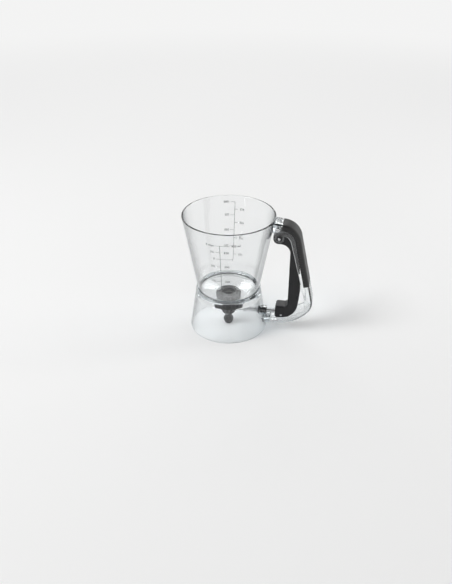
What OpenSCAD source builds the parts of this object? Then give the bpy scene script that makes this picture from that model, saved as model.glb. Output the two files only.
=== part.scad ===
// Pancake batter dispenser: a clear conical cup on a clear stand, with a trigger in the handle
// that pulls a flat gate from under the outlet. Millimetres, +Z up, handle toward +X.
// The origin is on the cup's axis, in the plane that the stand rests on.

/* [Container] */
// Height of the rim above the resting plane
rim_z = 183; // [165:1:215]
// Outer radius of the cup at the rim
rim_r = 67.1; // [62:0.1:76]
// Outer radius of the cup at its lower edge
floor_r = 45.1; // [42:0.1:48]
// Height of the seat that the cup stands on
seat_z = 61; // [58:0.5:68]
// Thickness of the cup's wall and floor
cup_wall = 2.2; // [1.6:0.1:3]
// Fall of the floor from its edge to the outlet
funnel_drop = 5; // [2:0.5:6]
// Fillet where the wall meets the floor, inside
floor_fillet = 6; // [2:0.5:10]
// Outer radius of the outlet neck
neck_r = 13; // [12:0.5:15]
// Bore radius of the outlet neck
neck_bore_r = 10; // [8:0.5:11]
// Length of the outlet neck below the floor
neck_len = 6; // [5:0.5:7]

/* [Stand] */
// Outer radius of the stand at its foot
base_r = 57.8; // [54:0.1:64]
// Outer radius of the stand at the top of its collar
collar_r = 47.9; // [47.5:0.1:51]
// Height of the collar above the seat
collar_h = 5; // [3:0.5:8]
// Thickness of the stand's wall
skirt_wall = 2.2; // [1.6:0.1:3]
// Width of the ledge under the cup
ledge_w = 2.6; // [2:0.1:4]
// Thickness of the ledge
ledge_t = 3; // [2:0.5:5]
// Radius of the boss round the rod port
port_boss_r = 7.5; // [7.2:0.1:9]
// Distance the port boss stands out of the wall, each way
port_boss_out = 4; // [2:0.5:5]

/* [Handle] */
// Drop of the handle's top corner below the rim
handle_drop = 8.5; // [7:0.1:11]
// Distance from the rim to the handle's top corner
handle_top_out = 32.8; // [31:0.1:38]
// Distance from the rim to the handle's lower corner
handle_low_out = 60.7; // [58:0.1:66]
// Height of the handle's lower corner
handle_low_z = 46.7; // [45:0.1:49]
// Radius of the handle's top outer corner
handle_top_r = 28; // [22:0.5:32]
// Radius of the handle's lower outer corner
handle_low_r = 24; // [16:0.5:25]
// Radius of the sweep from the foot of the handle to its lower corner
handle_sweep_r = 56; // [40:1:58]
// Overall width of the handle
handle_w = 28; // [27:0.5:32]
// Thickness of the handle's cheeks
cheek_t = 2.5; // [2:0.1:3]
// Thickness of the handle's web
web_t = 2.5; // [2:0.1:3]
// Edge radius along the handle's outside
handle_edge_r = 4; // [2:0.5:4]
// Radius of the ears that carry the pivot pin
ear_r = 7; // [5.5:0.5:8]
// Height of the tongue in the handle's top end
tongue_h = 9; // [8:0.5:9.5]
// Reach of the tongue beyond the cup's wall
tongue_len = 11; // [9:0.5:13]
// Reach of the tongue beyond the stand's wall
foot_tongue_len = 7; // [5:0.5:8]

/* [Grip pad] */
// Thickness of the pad
pad_t = 2; // [1.6:0.1:2.2]
// Depth that the pad wraps down each cheek
pad_wrap = 8; // [6:0.5:10]
// Length of the pad below the top corner
pad_len = 74; // [50:1:80]
// Length of the pad on the cup's side of the top corner
pad_lead = 3; // [1:0.5:6]

/* [Trigger] */
// Distance of the pivot below the rim
pivot_drop = 26; // [25.5:0.5:28]
// Distance of the pivot from the cup's wall
pivot_out = 11.4; // [11:0.1:12]
// Height of the link pin and of the pull rod
link_z = 28; // [27:0.1:30]
// Distance of the link pin beyond the pivot pin
link_out = 7.2; // [6.5:0.1:8]
// Width of the trigger
lever_w = 21; // [20:0.5:21.5]
// Distance of the finger face beyond the pivot
finger_out = 16; // [15:0.5:17]
// Depth of the trigger behind the finger face
lever_d = 17; // [16:0.5:17.5]
// Height of the trigger's foot above the link pin
foot_up = 14.5; // [12:0.5:18]
// Depth of the trigger's foot below the link pin
foot_down = 5.5; // [5:0.5:7]
// Reach of the trigger's foot in front of the link pin
foot_front = 9.5; // [8.5:0.1:10]
// Radius of the trigger's head above the pivot
hub_r = 7.8; // [7.2:0.1:8]
// Depth of the trigger's head below the pivot
head_down = 11; // [9:0.5:12]
// Reach of the trigger's head toward the cup from the pivot
head_front = 9; // [8:0.1:9.5]
// Edge radius of the trigger
lever_edge_r = 2.5; // [1.5:0.5:3]
// Wall thickness of the trigger
lever_wall = 3; // [2:0.5:4]
// Number of cells that ribs part the trigger's back into
rib_count = 4; // [2:1:6]

/* [Pins and rod] */
// Radius of the pivot pin
pivot_r = 2; // [1.5:0.1:2.5]
// Radius of the link pin
link_r = 1.5; // [1.2:0.1:2]
// Radius of the pull rod
rod_r = 2.5; // [2.2:0.1:2.8]
// Width of the rod's eye
eye_w = 7; // [6:0.5:8]
// Height of the rod's eye above and below the rod's axis
eye_half_h = 5; // [4.5:0.1:6]
// Play of the link pin at each end of the eye's slot
slot_play = 0.6; // [0.4:0.1:1]
// Travel of the rod when the trigger is squeezed
stroke = 11.6; // [11:0.1:12]
// Outer radius of the rod bushing
bushing_r = 4.5; // [4:0.1:5]
// Thickness of the bushing's flange
bushing_flange_t = 2; // [1.5:0.1:3]
// Radius of the return spring, to the middle of its wire
spring_r = 4.1; // [3.9:0.1:4.4]
// Radius of the spring's wire
wire_r = 0.4; // [0.3:0.05:0.5]
// Number of turns of the spring
spring_turns = 7; // [5:1:8]

/* [Valve] */
// Radius of the outlet bore
bore_r = 4.8; // [4:0.1:4.8]
// Radius of the valve housing
housing_r = 10; // [9.6:0.1:11]
// Height of the valve housing above the gate
housing_up = 6.5; // [6:0.1:7.5]
// Depth of the valve housing below the gate
housing_down = 3.1; // [2.8:0.1:4]
// Half width of the gate
gate_half_w = 6.5; // [6:0.1:6.8]
// Thickness of the gate
gate_t = 2.5; // [2:0.1:2.8]
// Radius of the lock ring
ring_r = 19; // [18:0.5:21]
// Number of grip flutes round the lock ring
flute_count = 16; // [8:1:24]
// Radius of the valve's top flange
flange_r = 15.8; // [15:0.1:16.5]
// Thickness of the valve's top flange
flange_t = 3.4; // [2.5:0.1:4]
// Thickness of the neck gasket
gasket_t = 1.6; // [1:0.1:2]
// Distance of the valve screws from the axis
ear_out = 12.6; // [12.2:0.1:13.5]

/* [Nozzle] */
// Height of the nozzle's mouth above the resting plane
mouth_z = 1; // [0.8:0.1:3]
// Bore radius at the nozzle's mouth
mouth_bore_r = 3.4; // [2.6:0.1:3.6]
// Radius of the nozzle's bulb
bulb_r = 7.2; // [6.5:0.1:8]
// Height of the bulb's widest place above the mouth
bulb_up = 7; // [6:0.1:8]
// Radius of the nozzle's waist above the bulb
waist_r = 4.6; // [4.4:0.1:5]
// Radius of the nozzle's sleeve
sleeve_r = 8.2; // [7.8:0.1:8.4]

/* [Clearances] */
// Gap between pieces that are fixed to each other round a curved face
seat_gap = 0.12; // [0.08:0.01:0.2]
// Radial clearance of a running pin or rod
run_gap = 0.06; // [0.03:0.01:0.09]
// Radial clearance of a fixed pin, screw or bushing
fix_gap = 0.03; // [0.02:0.01:0.05]
// Gap between faces that slide past each other
slide_gap = 0.3; // [0.2:0.05:0.4]
// Gap above and below the gate
gate_gap = 0.15; // [0.1:0.01:0.2]

/* [Hidden] */
$fn = 96;

// Small allowance by which a cutter runs past the face it cuts
eps = 1;
// Steps of a rounded corner
corner_steps = 8;
clear_colour = [0.86, 0.89, 0.91, 0.35];
dark_colour = [0.09, 0.09, 0.1];
rubber_colour = [0.05, 0.05, 0.05];
smoke_colour = [0.13, 0.13, 0.14];
steel_colour = [0.75, 0.76, 0.78];

// ---- Cones of the cup and the stand ----
cup_slope = (rim_r - floor_r) / (rim_z - seat_z);
cup_skin = cup_wall * sqrt(1 + cup_slope * cup_slope);
collar_z = seat_z + collar_h;
skirt_slope = (base_r - collar_r) / collar_z;
skirt_skin = skirt_wall * sqrt(1 + skirt_slope * skirt_slope);
function cup_out(z) = floor_r + cup_slope * (z - seat_z);
function cup_in(z) = cup_out(z) - cup_skin;
function skirt_out(z) = base_r - skirt_slope * z;
function skirt_in(z) = skirt_out(z) - skirt_skin;

// ---- Neck and valve stack, from the top down ----
ledge_r = floor_r - ledge_w;
ledge_land = 0.5;
funnel_edge_r = ledge_r - ledge_land;
neck_z = seat_z - funnel_drop - neck_len;
gasket_z = neck_z - gasket_t;
flange_z = gasket_z - flange_t;
gate_z = link_z;
gate_slot_h = gate_t + 2 * gate_gap;
split_z = gate_z + gate_slot_h / 2;
floor_z = gate_z - gate_slot_h / 2;
housing_top_z = split_z + housing_up;
housing_low_z = floor_z - housing_down;
seal_t = 1.2;
seal_w = 1.5;
seal_r = bore_r + seal_w;
ring_lip_t = 2;
ring_lip_w = 2.6;
ring_lip_r = flange_r - ring_lip_w;
ring_top_gap = 1.5;
ring_top_z = neck_z + neck_len - ring_top_gap;
valve_ear_r = 3;
valve_ear_t = 4.5;
valve_screw_r = 1.2;
valve_head_r = 2.2;
valve_head_t = 1.6;
spigot_wall = 1.1;
spigot_r = bore_r + spigot_wall;
spigot_len = 3;

// ---- Nozzle ----
sleeve_top_z = housing_low_z;
sleeve_len = 3;
bulb_z = mouth_z + bulb_up;
bulb_over = 1;
bulb_round_r = 5.5;
waist_up = 7;
waist_z = bulb_z + waist_up;
mouth_lip_t = 1.9;
mouth_r = mouth_bore_r + mouth_lip_t;
collar_ring_t = 1.4;

// ---- Handle outline in the XZ plane, counterclockwise, as [x, z, corner radius] ----
top_corner = [rim_r + handle_top_out, rim_z - handle_drop];
low_corner = [rim_r + handle_low_out, handle_low_z];
bottom_in = 22.3;
bottom_down = 28.3;
bottom_corner = [low_corner.x - bottom_in, low_corner.y - bottom_down];
top_rise = 7.8;
bottom_fall = 6.8;
inside_x = 40;
OUTLINE = [
    [inside_x, bottom_corner.y - bottom_fall, 0],
    [bottom_corner.x, bottom_corner.y, handle_sweep_r],
    [low_corner.x, low_corner.y, handle_low_r],
    [top_corner.x, top_corner.y, handle_top_r],
    [inside_x, top_corner.y + top_rise, 0]
];

// ---- Lips of the cheeks: the same frame, further in ----
lip_run_d = 10.2;
lip_bend_in = 14.5;
lip_bend_up = 8.6;
lip_bend_r = 40;
lip_low_in = 12.8;
lip_low_down = 5.3;
lip_low_r = 7;
lip_side_in = 14.6;
lip_side_up = 15.8;
lip_side_r = 60;
lip_top_in = 11.7;
lip_top_down = 14.4;
lip_top_r = 16;
lip_rise = 9.5;
lip_top_z = top_corner.y - lip_top_down;
LIPS = [
    [inside_x, bottom_corner.y - bottom_fall + lip_run_d, 0],
    [bottom_corner.x - lip_bend_in, bottom_corner.y + lip_bend_up, lip_bend_r],
    [low_corner.x - lip_low_in, low_corner.y - lip_low_down, lip_low_r],
    [low_corner.x - lip_side_in, low_corner.y + lip_side_up, lip_side_r],
    [top_corner.x - lip_top_in, lip_top_z, lip_top_r],
    [inside_x, lip_top_z + lip_rise, 0]
];

// ---- Pivot, trigger and rod ----
pivot = [cup_out(rim_z - pivot_drop) + pivot_out, rim_z - pivot_drop];
link = [pivot.x + link_out, link_z];
squeeze = asin(stroke / (pivot.y - link.y));
pin_rise = link_out * sin(squeeze) + (pivot.y - link.y) * (1 - cos(squeeze));
slot_half = pin_rise + slot_play;
finger_x = pivot.x + finger_out;
back_x = finger_x + lever_d;
foot_x = link.x - foot_front;
leg_low_z = pivot.y - head_down;
leg_top_z = pivot.y + hub_r;
foot_low_z = link_z - foot_down;
foot_top_z = link_z + foot_up;
back_low_in = 5;
back_low_r = 26;
back_mid_up = 22;
back_mid_r = 60;
back_top_in = 7.6;
back_top_r = 22;
crook_r = 14;
heel_r = 6;
toe_r = 3.5;
LEVER = [
    [foot_x, foot_low_z, toe_r],
    [back_x - back_low_in, foot_low_z, back_low_r],
    [back_x, foot_top_z + back_mid_up, back_mid_r],
    [back_x - back_top_in, leg_top_z, back_top_r],
    [pivot.x - head_front, leg_top_z, hub_r],
    [pivot.x - head_front, leg_low_z, hub_r],
    [finger_x, leg_low_z, crook_r],
    [finger_x, foot_top_z, heel_r],
    [foot_x, foot_top_z, toe_r]
];
fork_w = eye_w + 2 * slide_gap;
fork_over = 1.6;
fork_behind = 4;
fork_top_z = link_z + eye_half_h + fork_over;
fork_end_x = link.x + eye_half_h + fork_behind;
inner_w = handle_w - 2 * cheek_t;
hub_face = inner_w / 2 - slide_gap;
clip_t = 0.8;
clip_w = 2.2;
clip_r = pivot_r + clip_w;
clip_slot_w = 2.4;
pin_over = 1.2;
screw_r = 1.7;
screw_head_r = 3.4;
screw_head_t = 1.8;
screw_len = 8;
screw_slot_len = 4;
screw_slot_w = 0.8;
screw_slot_d = 0.8;
tongue_gap = seat_gap;
root_in_wall = 0.2;
tongue_low_z = top_corner.y - tongue_h;
screw_up = 5;
screw_past_middle = 0.5;
screw_at = [
    cup_out(tongue_low_z + screw_up) + tongue_len / 2 + screw_past_middle,
    tongue_low_z + screw_up
];
foot_tongue_gap = 2;
foot_tongue_top_z = link_z - rod_r - foot_tongue_gap;

// ---- Rod line, from the gate outwards ----
port_in_x = skirt_in(link_z) - port_boss_out;
port_out_x = skirt_out(link_z) + port_boss_out;
bushing_x = port_in_x - bushing_flange_t;
gate_body_len = 13;
tang_len = 9;
tang_half_w = 1.9;
rod_gap = 1;
rod_x = gate_body_len + rod_gap;
rivet_in = 4.5;
rivet_x = rod_x + rivet_in;
rivet_r = 0.9;
rivet_head_r = 1.5;
rivet_head_t = 0.6;
collar_gap = 0.5;
collar_x = rod_x + tang_len + collar_gap;
collar_t = 1.5;
collar_lip = 0.4;
rod_collar_r = spring_r + wire_r + collar_lip;
spring_x0 = collar_x + collar_t;
spring_x1 = bushing_x;
eye_back = 1.2;
eye_x0 = foot_x + eye_back;
eye_x1 = link.x + eye_half_h;

// ---- Geometry helpers ----
function unit(v) = v / norm(v);
function cross2(a, b) = a.x * b.y - a.y * b.x;
function xy(p) = [p[0], p[1]];
// Centre of the arc that rounds corner c between its neighbours p and n
function arc_centre(p, c, n, r) =
    let (a = unit(p - c), b = unit(n - c), half = acos(a * b) / 2)
    c + unit(a + b) * r / sin(half);
// Length cut off each side of a corner by its arc
function arc_cut(p, c, n, r) =
    let (a = unit(p - c), b = unit(n - c), half = acos(a * b) / 2)
    r / tan(half);
function corner_arc(p, c, n, r, steps) =
    let (
        m = arc_centre(p, c, n, r),
        t = arc_cut(p, c, n, r),
        s = c + unit(p - c) * t,
        e = c + unit(n - c) * t,
        a0 = atan2(s.y - m.y, s.x - m.x),
        turn = (atan2(e.y - m.y, e.x - m.x) - a0 + 540) % 360 - 180
    )
    [for (i = [0:steps]) m + r * [cos(a0 + turn * i / steps), sin(a0 + turn * i / steps)]];
// Points of a closed outline whose corners carry a radius in their third value
function rounded(pts, steps = corner_steps) =
    let (n = len(pts))
    [
        for (i = [0:n - 1])
            each (pts[i][2] > 0)
                ? corner_arc(xy(pts[(i + n - 1) % n]), xy(pts[i]), xy(pts[(i + 1) % n]), pts[i][2], steps)
                : [xy(pts[i])]
    ];
// The same counterclockwise outline, moved inwards by d, with its radii to match
function inset(pts, d) =
    let (n = len(pts))
    [
        for (i = [0:n - 1])
            let (
                a = unit(xy(pts[i]) - xy(pts[(i + n - 1) % n])),
                b = unit(xy(pts[(i + 1) % n]) - xy(pts[i])),
                na = [-a.y, a.x],
                nb = [-b.y, b.x],
                k = d * (na + nb) / (1 + na * nb),
                r = pts[i][2]
            )
            [pts[i][0] + k.x, pts[i][1] + k.y, r > 0 ? (cross2(a, b) > 0 ? r - d : r + d) : 0]
    ];

// Extrudes an XZ outline to the width w, centred on the XZ plane
module across(w) {
    rotate([90, 0, 0]) linear_extrude(w, center = true) children();
}
// A cylinder along Y, centred on the XZ plane
module y_bar(x, z, r, w) {
    translate([x, 0, z]) rotate([90, 0, 0]) cylinder(h = w, r = r, center = true);
}
// A cylinder along X between two places on the rod's axis
module x_bar(x0, x1, r) {
    translate([x0, 0, link_z]) rotate([0, 90, 0]) cylinder(h = x1 - x0, r = r);
}
// A bar with the XZ outline pts, w wide, with all its edges rounded to r
module soft_bar(pts, w, r) {
    minkowski() {
        across(w - 2 * r) polygon(rounded(inset(pts, r), 6));
        sphere(r = r, $fn = 16);
    }
}
// End of corner i's arc on its far side (side = 1) or its near side (side = 0)
function arc_end(pts, i, side) =
    let (
        n = len(pts),
        p = xy(pts[(i + n - 1) % n]),
        c = xy(pts[i]),
        q = xy(pts[(i + 1) % n])
    )
    c + unit((side == 1 ? q : p) - c) * arc_cut(p, c, q, pts[i][2]);

// Solid cones that the handle is trimmed to
module cup_cone(gap) {
    low = seat_z - eps;
    high = rim_z + eps;
    translate([0, 0, low]) cylinder(h = high - low, r1 = cup_out(low) + gap, r2 = cup_out(high) + gap);
}
module skirt_cone(gap) {
    translate([0, 0, -eps])
        cylinder(h = collar_z + eps, r1 = skirt_out(-eps) + gap, r2 = skirt_out(collar_z) + gap);
}
module cup_hollow_cone() {
    low = seat_z - eps;
    high = rim_z + eps;
    translate([0, 0, low])
        cylinder(h = high - low, r1 = cup_in(low) + root_in_wall, r2 = cup_in(high) + root_in_wall);
}
module skirt_hollow_cone() {
    low = -eps;
    translate([0, 0, low])
        cylinder(h = collar_z - low, r1 = skirt_in(low) + root_in_wall, r2 = skirt_in(collar_z) + root_in_wall);
}

// ---- Container ----
module cup_tongue() {
    pocket_rim = 2.5;
    pocket_w = 3;
    roof_room = 10;
    difference() {
        intersection() {
            across(inner_w - 2 * tongue_gap) polygon(rounded(inset(OUTLINE, web_t + tongue_gap)));
            translate([inside_x, -inner_w, tongue_low_z])
                cube([cup_out(tongue_low_z) + tongue_len - inside_x, 2 * inner_w, tongue_h + roof_room]);
        }
        cup_hollow_cone();
        for (s = [-1, 1])
            translate([screw_at.x, s * (inner_w / 2 + eps), screw_at.y]) rotate([s * 90, 0, 0])
                cylinder(h = screw_len + eps, r = screw_r + fix_gap);
        // lightening pocket, open below
        translate([cup_out(tongue_low_z) + pocket_rim, -pocket_w / 2, tongue_low_z - eps])
            cube([tongue_len - 2 * pocket_rim, pocket_w, tongue_h / 2 + eps]);
    }
}
module container() {
    lip = cup_skin / 2 - 0.01;
    color(clear_colour) {
        rotate_extrude() polygon(rounded([
            [floor_r, seat_z, 0.6],
            [rim_r, rim_z, lip],
            [rim_r - cup_skin, rim_z, lip],
            [cup_in(seat_z + cup_wall), seat_z + cup_wall, floor_fillet],
            [neck_bore_r, seat_z - funnel_drop + cup_wall, 2],
            [neck_bore_r, neck_z, 0],
            [neck_r, neck_z, 0.5],
            [neck_r, seat_z - funnel_drop, 1.5],
            [funnel_edge_r, seat_z, 0]
        ]));
        cup_tongue();
    }
}

// ---- Stand ----
module base_skirt() {
    collar_in = cup_out(seat_z) + seat_gap;
    ledge_low_z = seat_z - ledge_t;
    ledge_run = skirt_in(ledge_low_z - 4) - ledge_r;
    color(clear_colour) {
        difference() {
            union() {
                rotate_extrude() polygon(rounded([
                    [skirt_in(0), 0, 0.4],
                    [base_r, 0, 0.8],
                    [collar_r, collar_z, 0.6],
                    [cup_out(collar_z) + seat_gap, collar_z, 0],
                    [collar_in, seat_z, 0],
                    [ledge_r, seat_z, 0],
                    [ledge_r, ledge_low_z, 0.8],
                    [skirt_in(ledge_low_z - ledge_run), ledge_low_z - ledge_run, 4]
                ]));
                x_bar(port_in_x, port_out_x, port_boss_r);
                difference() {
                    intersection() {
                        across(inner_w - 2 * tongue_gap) polygon(rounded(inset(OUTLINE, web_t + tongue_gap)));
                        translate([inside_x, -inner_w, 0])
                            cube([skirt_out(0) + foot_tongue_len - inside_x, 2 * inner_w, foot_tongue_top_z]);
                    }
                    skirt_hollow_cone();
                }
            }
            x_bar(port_in_x - eps, port_out_x + eps, bushing_r + fix_gap);
        }
    }
}

// ---- Handle ----
// The stretch of the handle that the pad covers, down to the depth of its wrap
module pad_zone(gap) {
    reach = 3;
    corner_reach = 8;
    a = arc_end(OUTLINE, 3, 0);
    b = arc_end(OUTLINE, 3, 1);
    down = unit(low_corner - top_corner);
    lead = unit([inside_x, top_corner.y + top_rise] - top_corner);
    out_a = [-down.y, down.x];
    out_b = [lead.y, -lead.x];
    low = a + down * (pad_len + gap);
    high = b + lead * (pad_lead + gap);
    across(handle_w + 4 * eps) difference() {
        polygon([
            low - out_a * (pad_wrap + reach), low + out_a * reach, top_corner + [corner_reach, corner_reach],
            high + out_b * reach, high - out_b * (pad_wrap + reach),
            arc_centre(low, top_corner, high, handle_top_r)
        ]);
        polygon(rounded(inset(OUTLINE, pad_wrap + gap)));
    }
}
// The handle's core under the pad
module pad_core(gap) {
    side = 1.2 + gap;
    soft_bar(inset(OUTLINE, pad_t + gap), handle_w - 2 * side, handle_edge_r - side);
}
module handle_frame() {
    ear_root = 6;
    color(clear_colour) difference() {
        union() {
            difference() {
                soft_bar(OUTLINE, handle_w, handle_edge_r);
                difference() {
                    pad_zone(seat_gap);
                    pad_core(seat_gap);
                }
                across(handle_w + 2 * eps) polygon(rounded(LIPS));
            }
            for (s = [-1, 1])
                translate([0, s * (handle_w - cheek_t) / 2, 0]) across(cheek_t) {
                    translate(pivot) circle(r = ear_r);
                    translate([pivot.x - ear_r, pivot.y])
                        square([2 * ear_r, lip_top_z + ear_root - pivot.y]);
                }
        }
        // channel, open toward the cup
        across(inner_w) polygon(rounded(inset(OUTLINE, web_t)));
        y_bar(pivot.x, pivot.y, pivot_r + fix_gap, handle_w + 2 * eps);
        y_bar(screw_at.x, screw_at.y, screw_r + 0.2, handle_w + 2 * eps);
        cup_cone(seat_gap);
        skirt_cone(seat_gap);
    }
}
module grip_pad() {
    proud = 0.2;
    color(rubber_colour) intersection() {
        pad_zone(0);
        difference() {
            soft_bar(inset(OUTLINE, -proud), handle_w + 2 * proud, handle_edge_r + proud);
            pad_core(0);
        }
    }
}
module handle_screws() {
    shank = cheek_t + screw_len - 1;
    color(steel_colour) for (s = [-1, 1])
        translate([screw_at.x, s * handle_w / 2, screw_at.y]) rotate([-s * 90, 0, 0]) difference() {
            union() {
                rotate_extrude() polygon(rounded([
                    [0, 0, 0], [screw_head_r, 0, 0], [screw_head_r, screw_head_t, 1], [0, screw_head_t, 0]
                ]));
                translate([0, 0, -shank]) cylinder(h = shank, r = screw_r);
            }
            for (a = [0, 90])
                rotate([0, 0, a])
                    translate([-screw_slot_len / 2, -screw_slot_w / 2, screw_head_t - screw_slot_d])
                        cube([screw_slot_len, screw_slot_w, screw_slot_d + eps]);
        }
}
module pivot_pin() {
    half = handle_w / 2 + clip_t + pin_over;
    color(steel_colour) translate([pivot.x, 0, pivot.y]) rotate([90, 0, 0]) rotate_extrude() polygon(rounded([
        [0, -half, 0], [pivot_r, -half, 0.5], [pivot_r, half, 0.5], [0, half, 0]
    ], 3));
}
module pivot_clips() {
    color(steel_colour) for (s = [-1, 1])
        translate([pivot.x, s * (handle_w + clip_t) / 2, pivot.y]) rotate([90, 0, 0]) difference() {
            cylinder(h = clip_t, r = clip_r, center = true);
            cylinder(h = clip_t + eps, r = pivot_r + fix_gap, center = true);
            translate([-clip_slot_w / 2, -clip_r - eps, -clip_t]) cube([clip_slot_w, clip_r, 2 * clip_t]);
        }
}

// ---- Trigger ----
module trigger_lever() {
    pocket_half = lever_w / 2 - lever_wall + 0.3;
    pocket_low = foot_top_z + lever_wall + 1;
    pocket_top = leg_low_z + 4;
    front = finger_x + lever_wall;
    behind = back_x + 2 * lever_wall;
    pocket_round_r = 5;
    rib_t = 1.6;
    rib_root = 0.5;
    rib_short = 5;
    pitch = (pocket_top - pocket_low) / rib_count;
    color(smoke_colour) difference() {
        union() {
            difference() {
                soft_bar(LEVER, lever_w, lever_edge_r);
                // hollow back
                across(2 * pocket_half) polygon(rounded([
                    [front, pocket_low, 2], [behind, pocket_low, 0],
                    [behind, pocket_top, 0], [front, pocket_top, pocket_round_r]
                ], 4));
            }
            // ribs across the hollow
            for (i = [1:rib_count - 1])
                translate([front - rib_root, -pocket_half - rib_root, pocket_low + i * pitch - rib_t / 2])
                    cube([lever_d - lever_wall - rib_short, 2 * (pocket_half + rib_root), rib_t]);
            y_bar(pivot.x, pivot.y, pivot_r + 2.8, 2 * hub_face);
        }
        y_bar(pivot.x, pivot.y, pivot_r + run_gap, handle_w);
        y_bar(link.x, link.y, link_r + fix_gap, handle_w);
        // fork for the rod's eye, open below and in front
        translate([foot_x - eps, -fork_w / 2, foot_low_z - eps])
            cube([fork_end_x - foot_x + eps, fork_w, fork_top_z - foot_low_z + eps]);
    }
}
module link_pin() {
    half = lever_w / 2 + 0.3;
    color(steel_colour) translate([link.x, 0, link.y]) rotate([90, 0, 0]) rotate_extrude() polygon(rounded([
        [0, -half, 0], [link_r, -half, 0.3], [link_r, half, 0.3], [0, half, 0]
    ], 3));
}

// ---- Rod, gate and spring ----
module pull_rod() {
    color(steel_colour) difference() {
        union() {
            x_bar(rod_x, eye_x0 + 2, rod_r);
            translate([0, 0, link_z]) rotate([90, 0, 0]) linear_extrude(eye_w, center = true)
                polygon(rounded([
                    [eye_x0, -rod_r - 0.4, 1], [link.x - eye_half_h, -eye_half_h, 2],
                    [eye_x1, -eye_half_h, 3.5], [eye_x1, eye_half_h, 3.5],
                    [link.x - eye_half_h, eye_half_h, 2], [eye_x0, rod_r + 0.4, 1]
                ], 5));
        }
        // upright slot for the link pin
        for (s = [-1, 1]) y_bar(link.x, link_z + s * slot_half, link_r + run_gap, eye_w + eps);
        translate([link.x - link_r - run_gap, -eye_w, link_z - slot_half])
            cube([2 * (link_r + run_gap), 2 * eye_w, 2 * slot_half]);
        // fork for the gate's tang
        translate([rod_x - eps, -rod_r - eps, link_z - gate_t / 2 - fix_gap])
            cube([tang_len + eps, 2 * (rod_r + eps), gate_t + 2 * fix_gap]);
        translate([rivet_x, 0, link_z - rod_r - eps]) cylinder(h = 2 * (rod_r + eps), r = rivet_r + fix_gap);
        for (s = [-1, 1])
            translate([rivet_x, 0, link_z + s * (rod_r - 0.2 + eps)])
                cylinder(h = 2 * eps, r = rivet_head_r + fix_gap, center = true);
    }
}
module gate_blade() {
    color(steel_colour) translate([0, 0, gate_z - gate_t / 2]) difference() {
        union() {
            cylinder(h = gate_t, r = gate_half_w);
            translate([0, -gate_half_w, 0]) cube([gate_body_len, 2 * gate_half_w, gate_t]);
            translate([gate_body_len - 0.5, -tang_half_w, 0]) cube([tang_len, 2 * tang_half_w, gate_t]);
        }
        translate([rivet_x, 0, -eps]) cylinder(h = gate_t + 2 * eps, r = rivet_r + fix_gap);
    }
}
module gate_rivet() {
    seat = rod_r - 0.2;
    color(steel_colour) translate([rivet_x, 0, link_z]) {
        translate([0, 0, -seat]) cylinder(h = 2 * seat, r = rivet_r);
        for (z = [seat, -seat - rivet_head_t])
            translate([0, 0, z]) cylinder(h = rivet_head_t, r = rivet_head_r);
    }
}
module rod_collar() {
    color(steel_colour) difference() {
        x_bar(collar_x, collar_x + collar_t, rod_collar_r);
        x_bar(collar_x - eps, collar_x + collar_t + eps, rod_r + fix_gap);
    }
}
// Wire swept along the coil: closed end turns at half pitch, open turns between
module return_spring() {
    sides = 8;
    per_turn = 20;
    steps = spring_turns * per_turn;
    run = spring_x1 - spring_x0 - 2 * wire_r - 2 * seat_gap;
    x0 = spring_x0 + wire_r + seat_gap;
    ends = 2 * wire_r * 1.1;
    function place(i) =
        let (t = i / per_turn, last = spring_turns - 1)
        t < 1 ? ends * t
        : t > last ? run - ends * (spring_turns - t)
        : ends + (run - 2 * ends) * (t - 1) / (last - 1);
    function ring(i) =
        let (a = 360 * i / per_turn)
        [for (k = [0:sides - 1])
            let (b = 360 * k / sides, q = spring_r + wire_r * cos(b))
            [x0 + place(i) + wire_r * sin(b), q * cos(a), link_z + q * sin(a)]];
    pts = [for (i = [0:steps]) each ring(i)];
    skin = [for (i = [0:steps - 1], k = [0:sides - 1])
        let (a = i * sides + k, b = i * sides + (k + 1) % sides)
        each [[a, b, a + sides], [b, b + sides, a + sides]]];
    caps = [[for (k = [sides - 1:-1:0]) k], [for (k = [0:sides - 1]) steps * sides + k]];
    color(steel_colour) polyhedron(pts, concat(skin, caps));
}
module rod_bushing() {
    color(dark_colour) difference() {
        union() {
            x_bar(bushing_x, port_in_x, bushing_r + 1.6);
            x_bar(port_in_x, port_out_x + 0.8, bushing_r);
        }
        x_bar(bushing_x - eps, port_out_x + eps + 0.8, rod_r + run_gap);
    }
}

// ---- Valve ----
module neck_gasket() {
    inner_r = neck_bore_r + 0.3;
    color(rubber_colour) rotate_extrude() polygon([
        [inner_r, gasket_z], [neck_r, gasket_z], [neck_r, neck_z], [inner_r, neck_z]
    ]);
}
module lock_ring() {
    flute_r = 2;
    color(dark_colour) difference() {
        rotate_extrude() polygon(rounded([
            [ring_lip_r, flange_z - ring_lip_t, 0.3],
            [ring_r - 1.5, flange_z - ring_lip_t, 1],
            [ring_r, ring_top_z, 1.2],
            [neck_r + seat_gap, ring_top_z, 0.4],
            [neck_r + seat_gap, gasket_z + 0.3, 0],
            [flange_r + seat_gap, gasket_z + 0.3, 0],
            [flange_r + seat_gap, flange_z, 0],
            [ring_lip_r, flange_z, 0]
        ], 4));
        for (i = [0:flute_count - 1])
            rotate([0, 0, 360 * i / flute_count]) translate([ring_r + 0.7, 0, flange_z - ring_lip_t - eps])
                cylinder(h = ring_top_z - flange_z + ring_lip_t + 2 * eps, r = flute_r, $fn = 24);
    }
}
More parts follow.
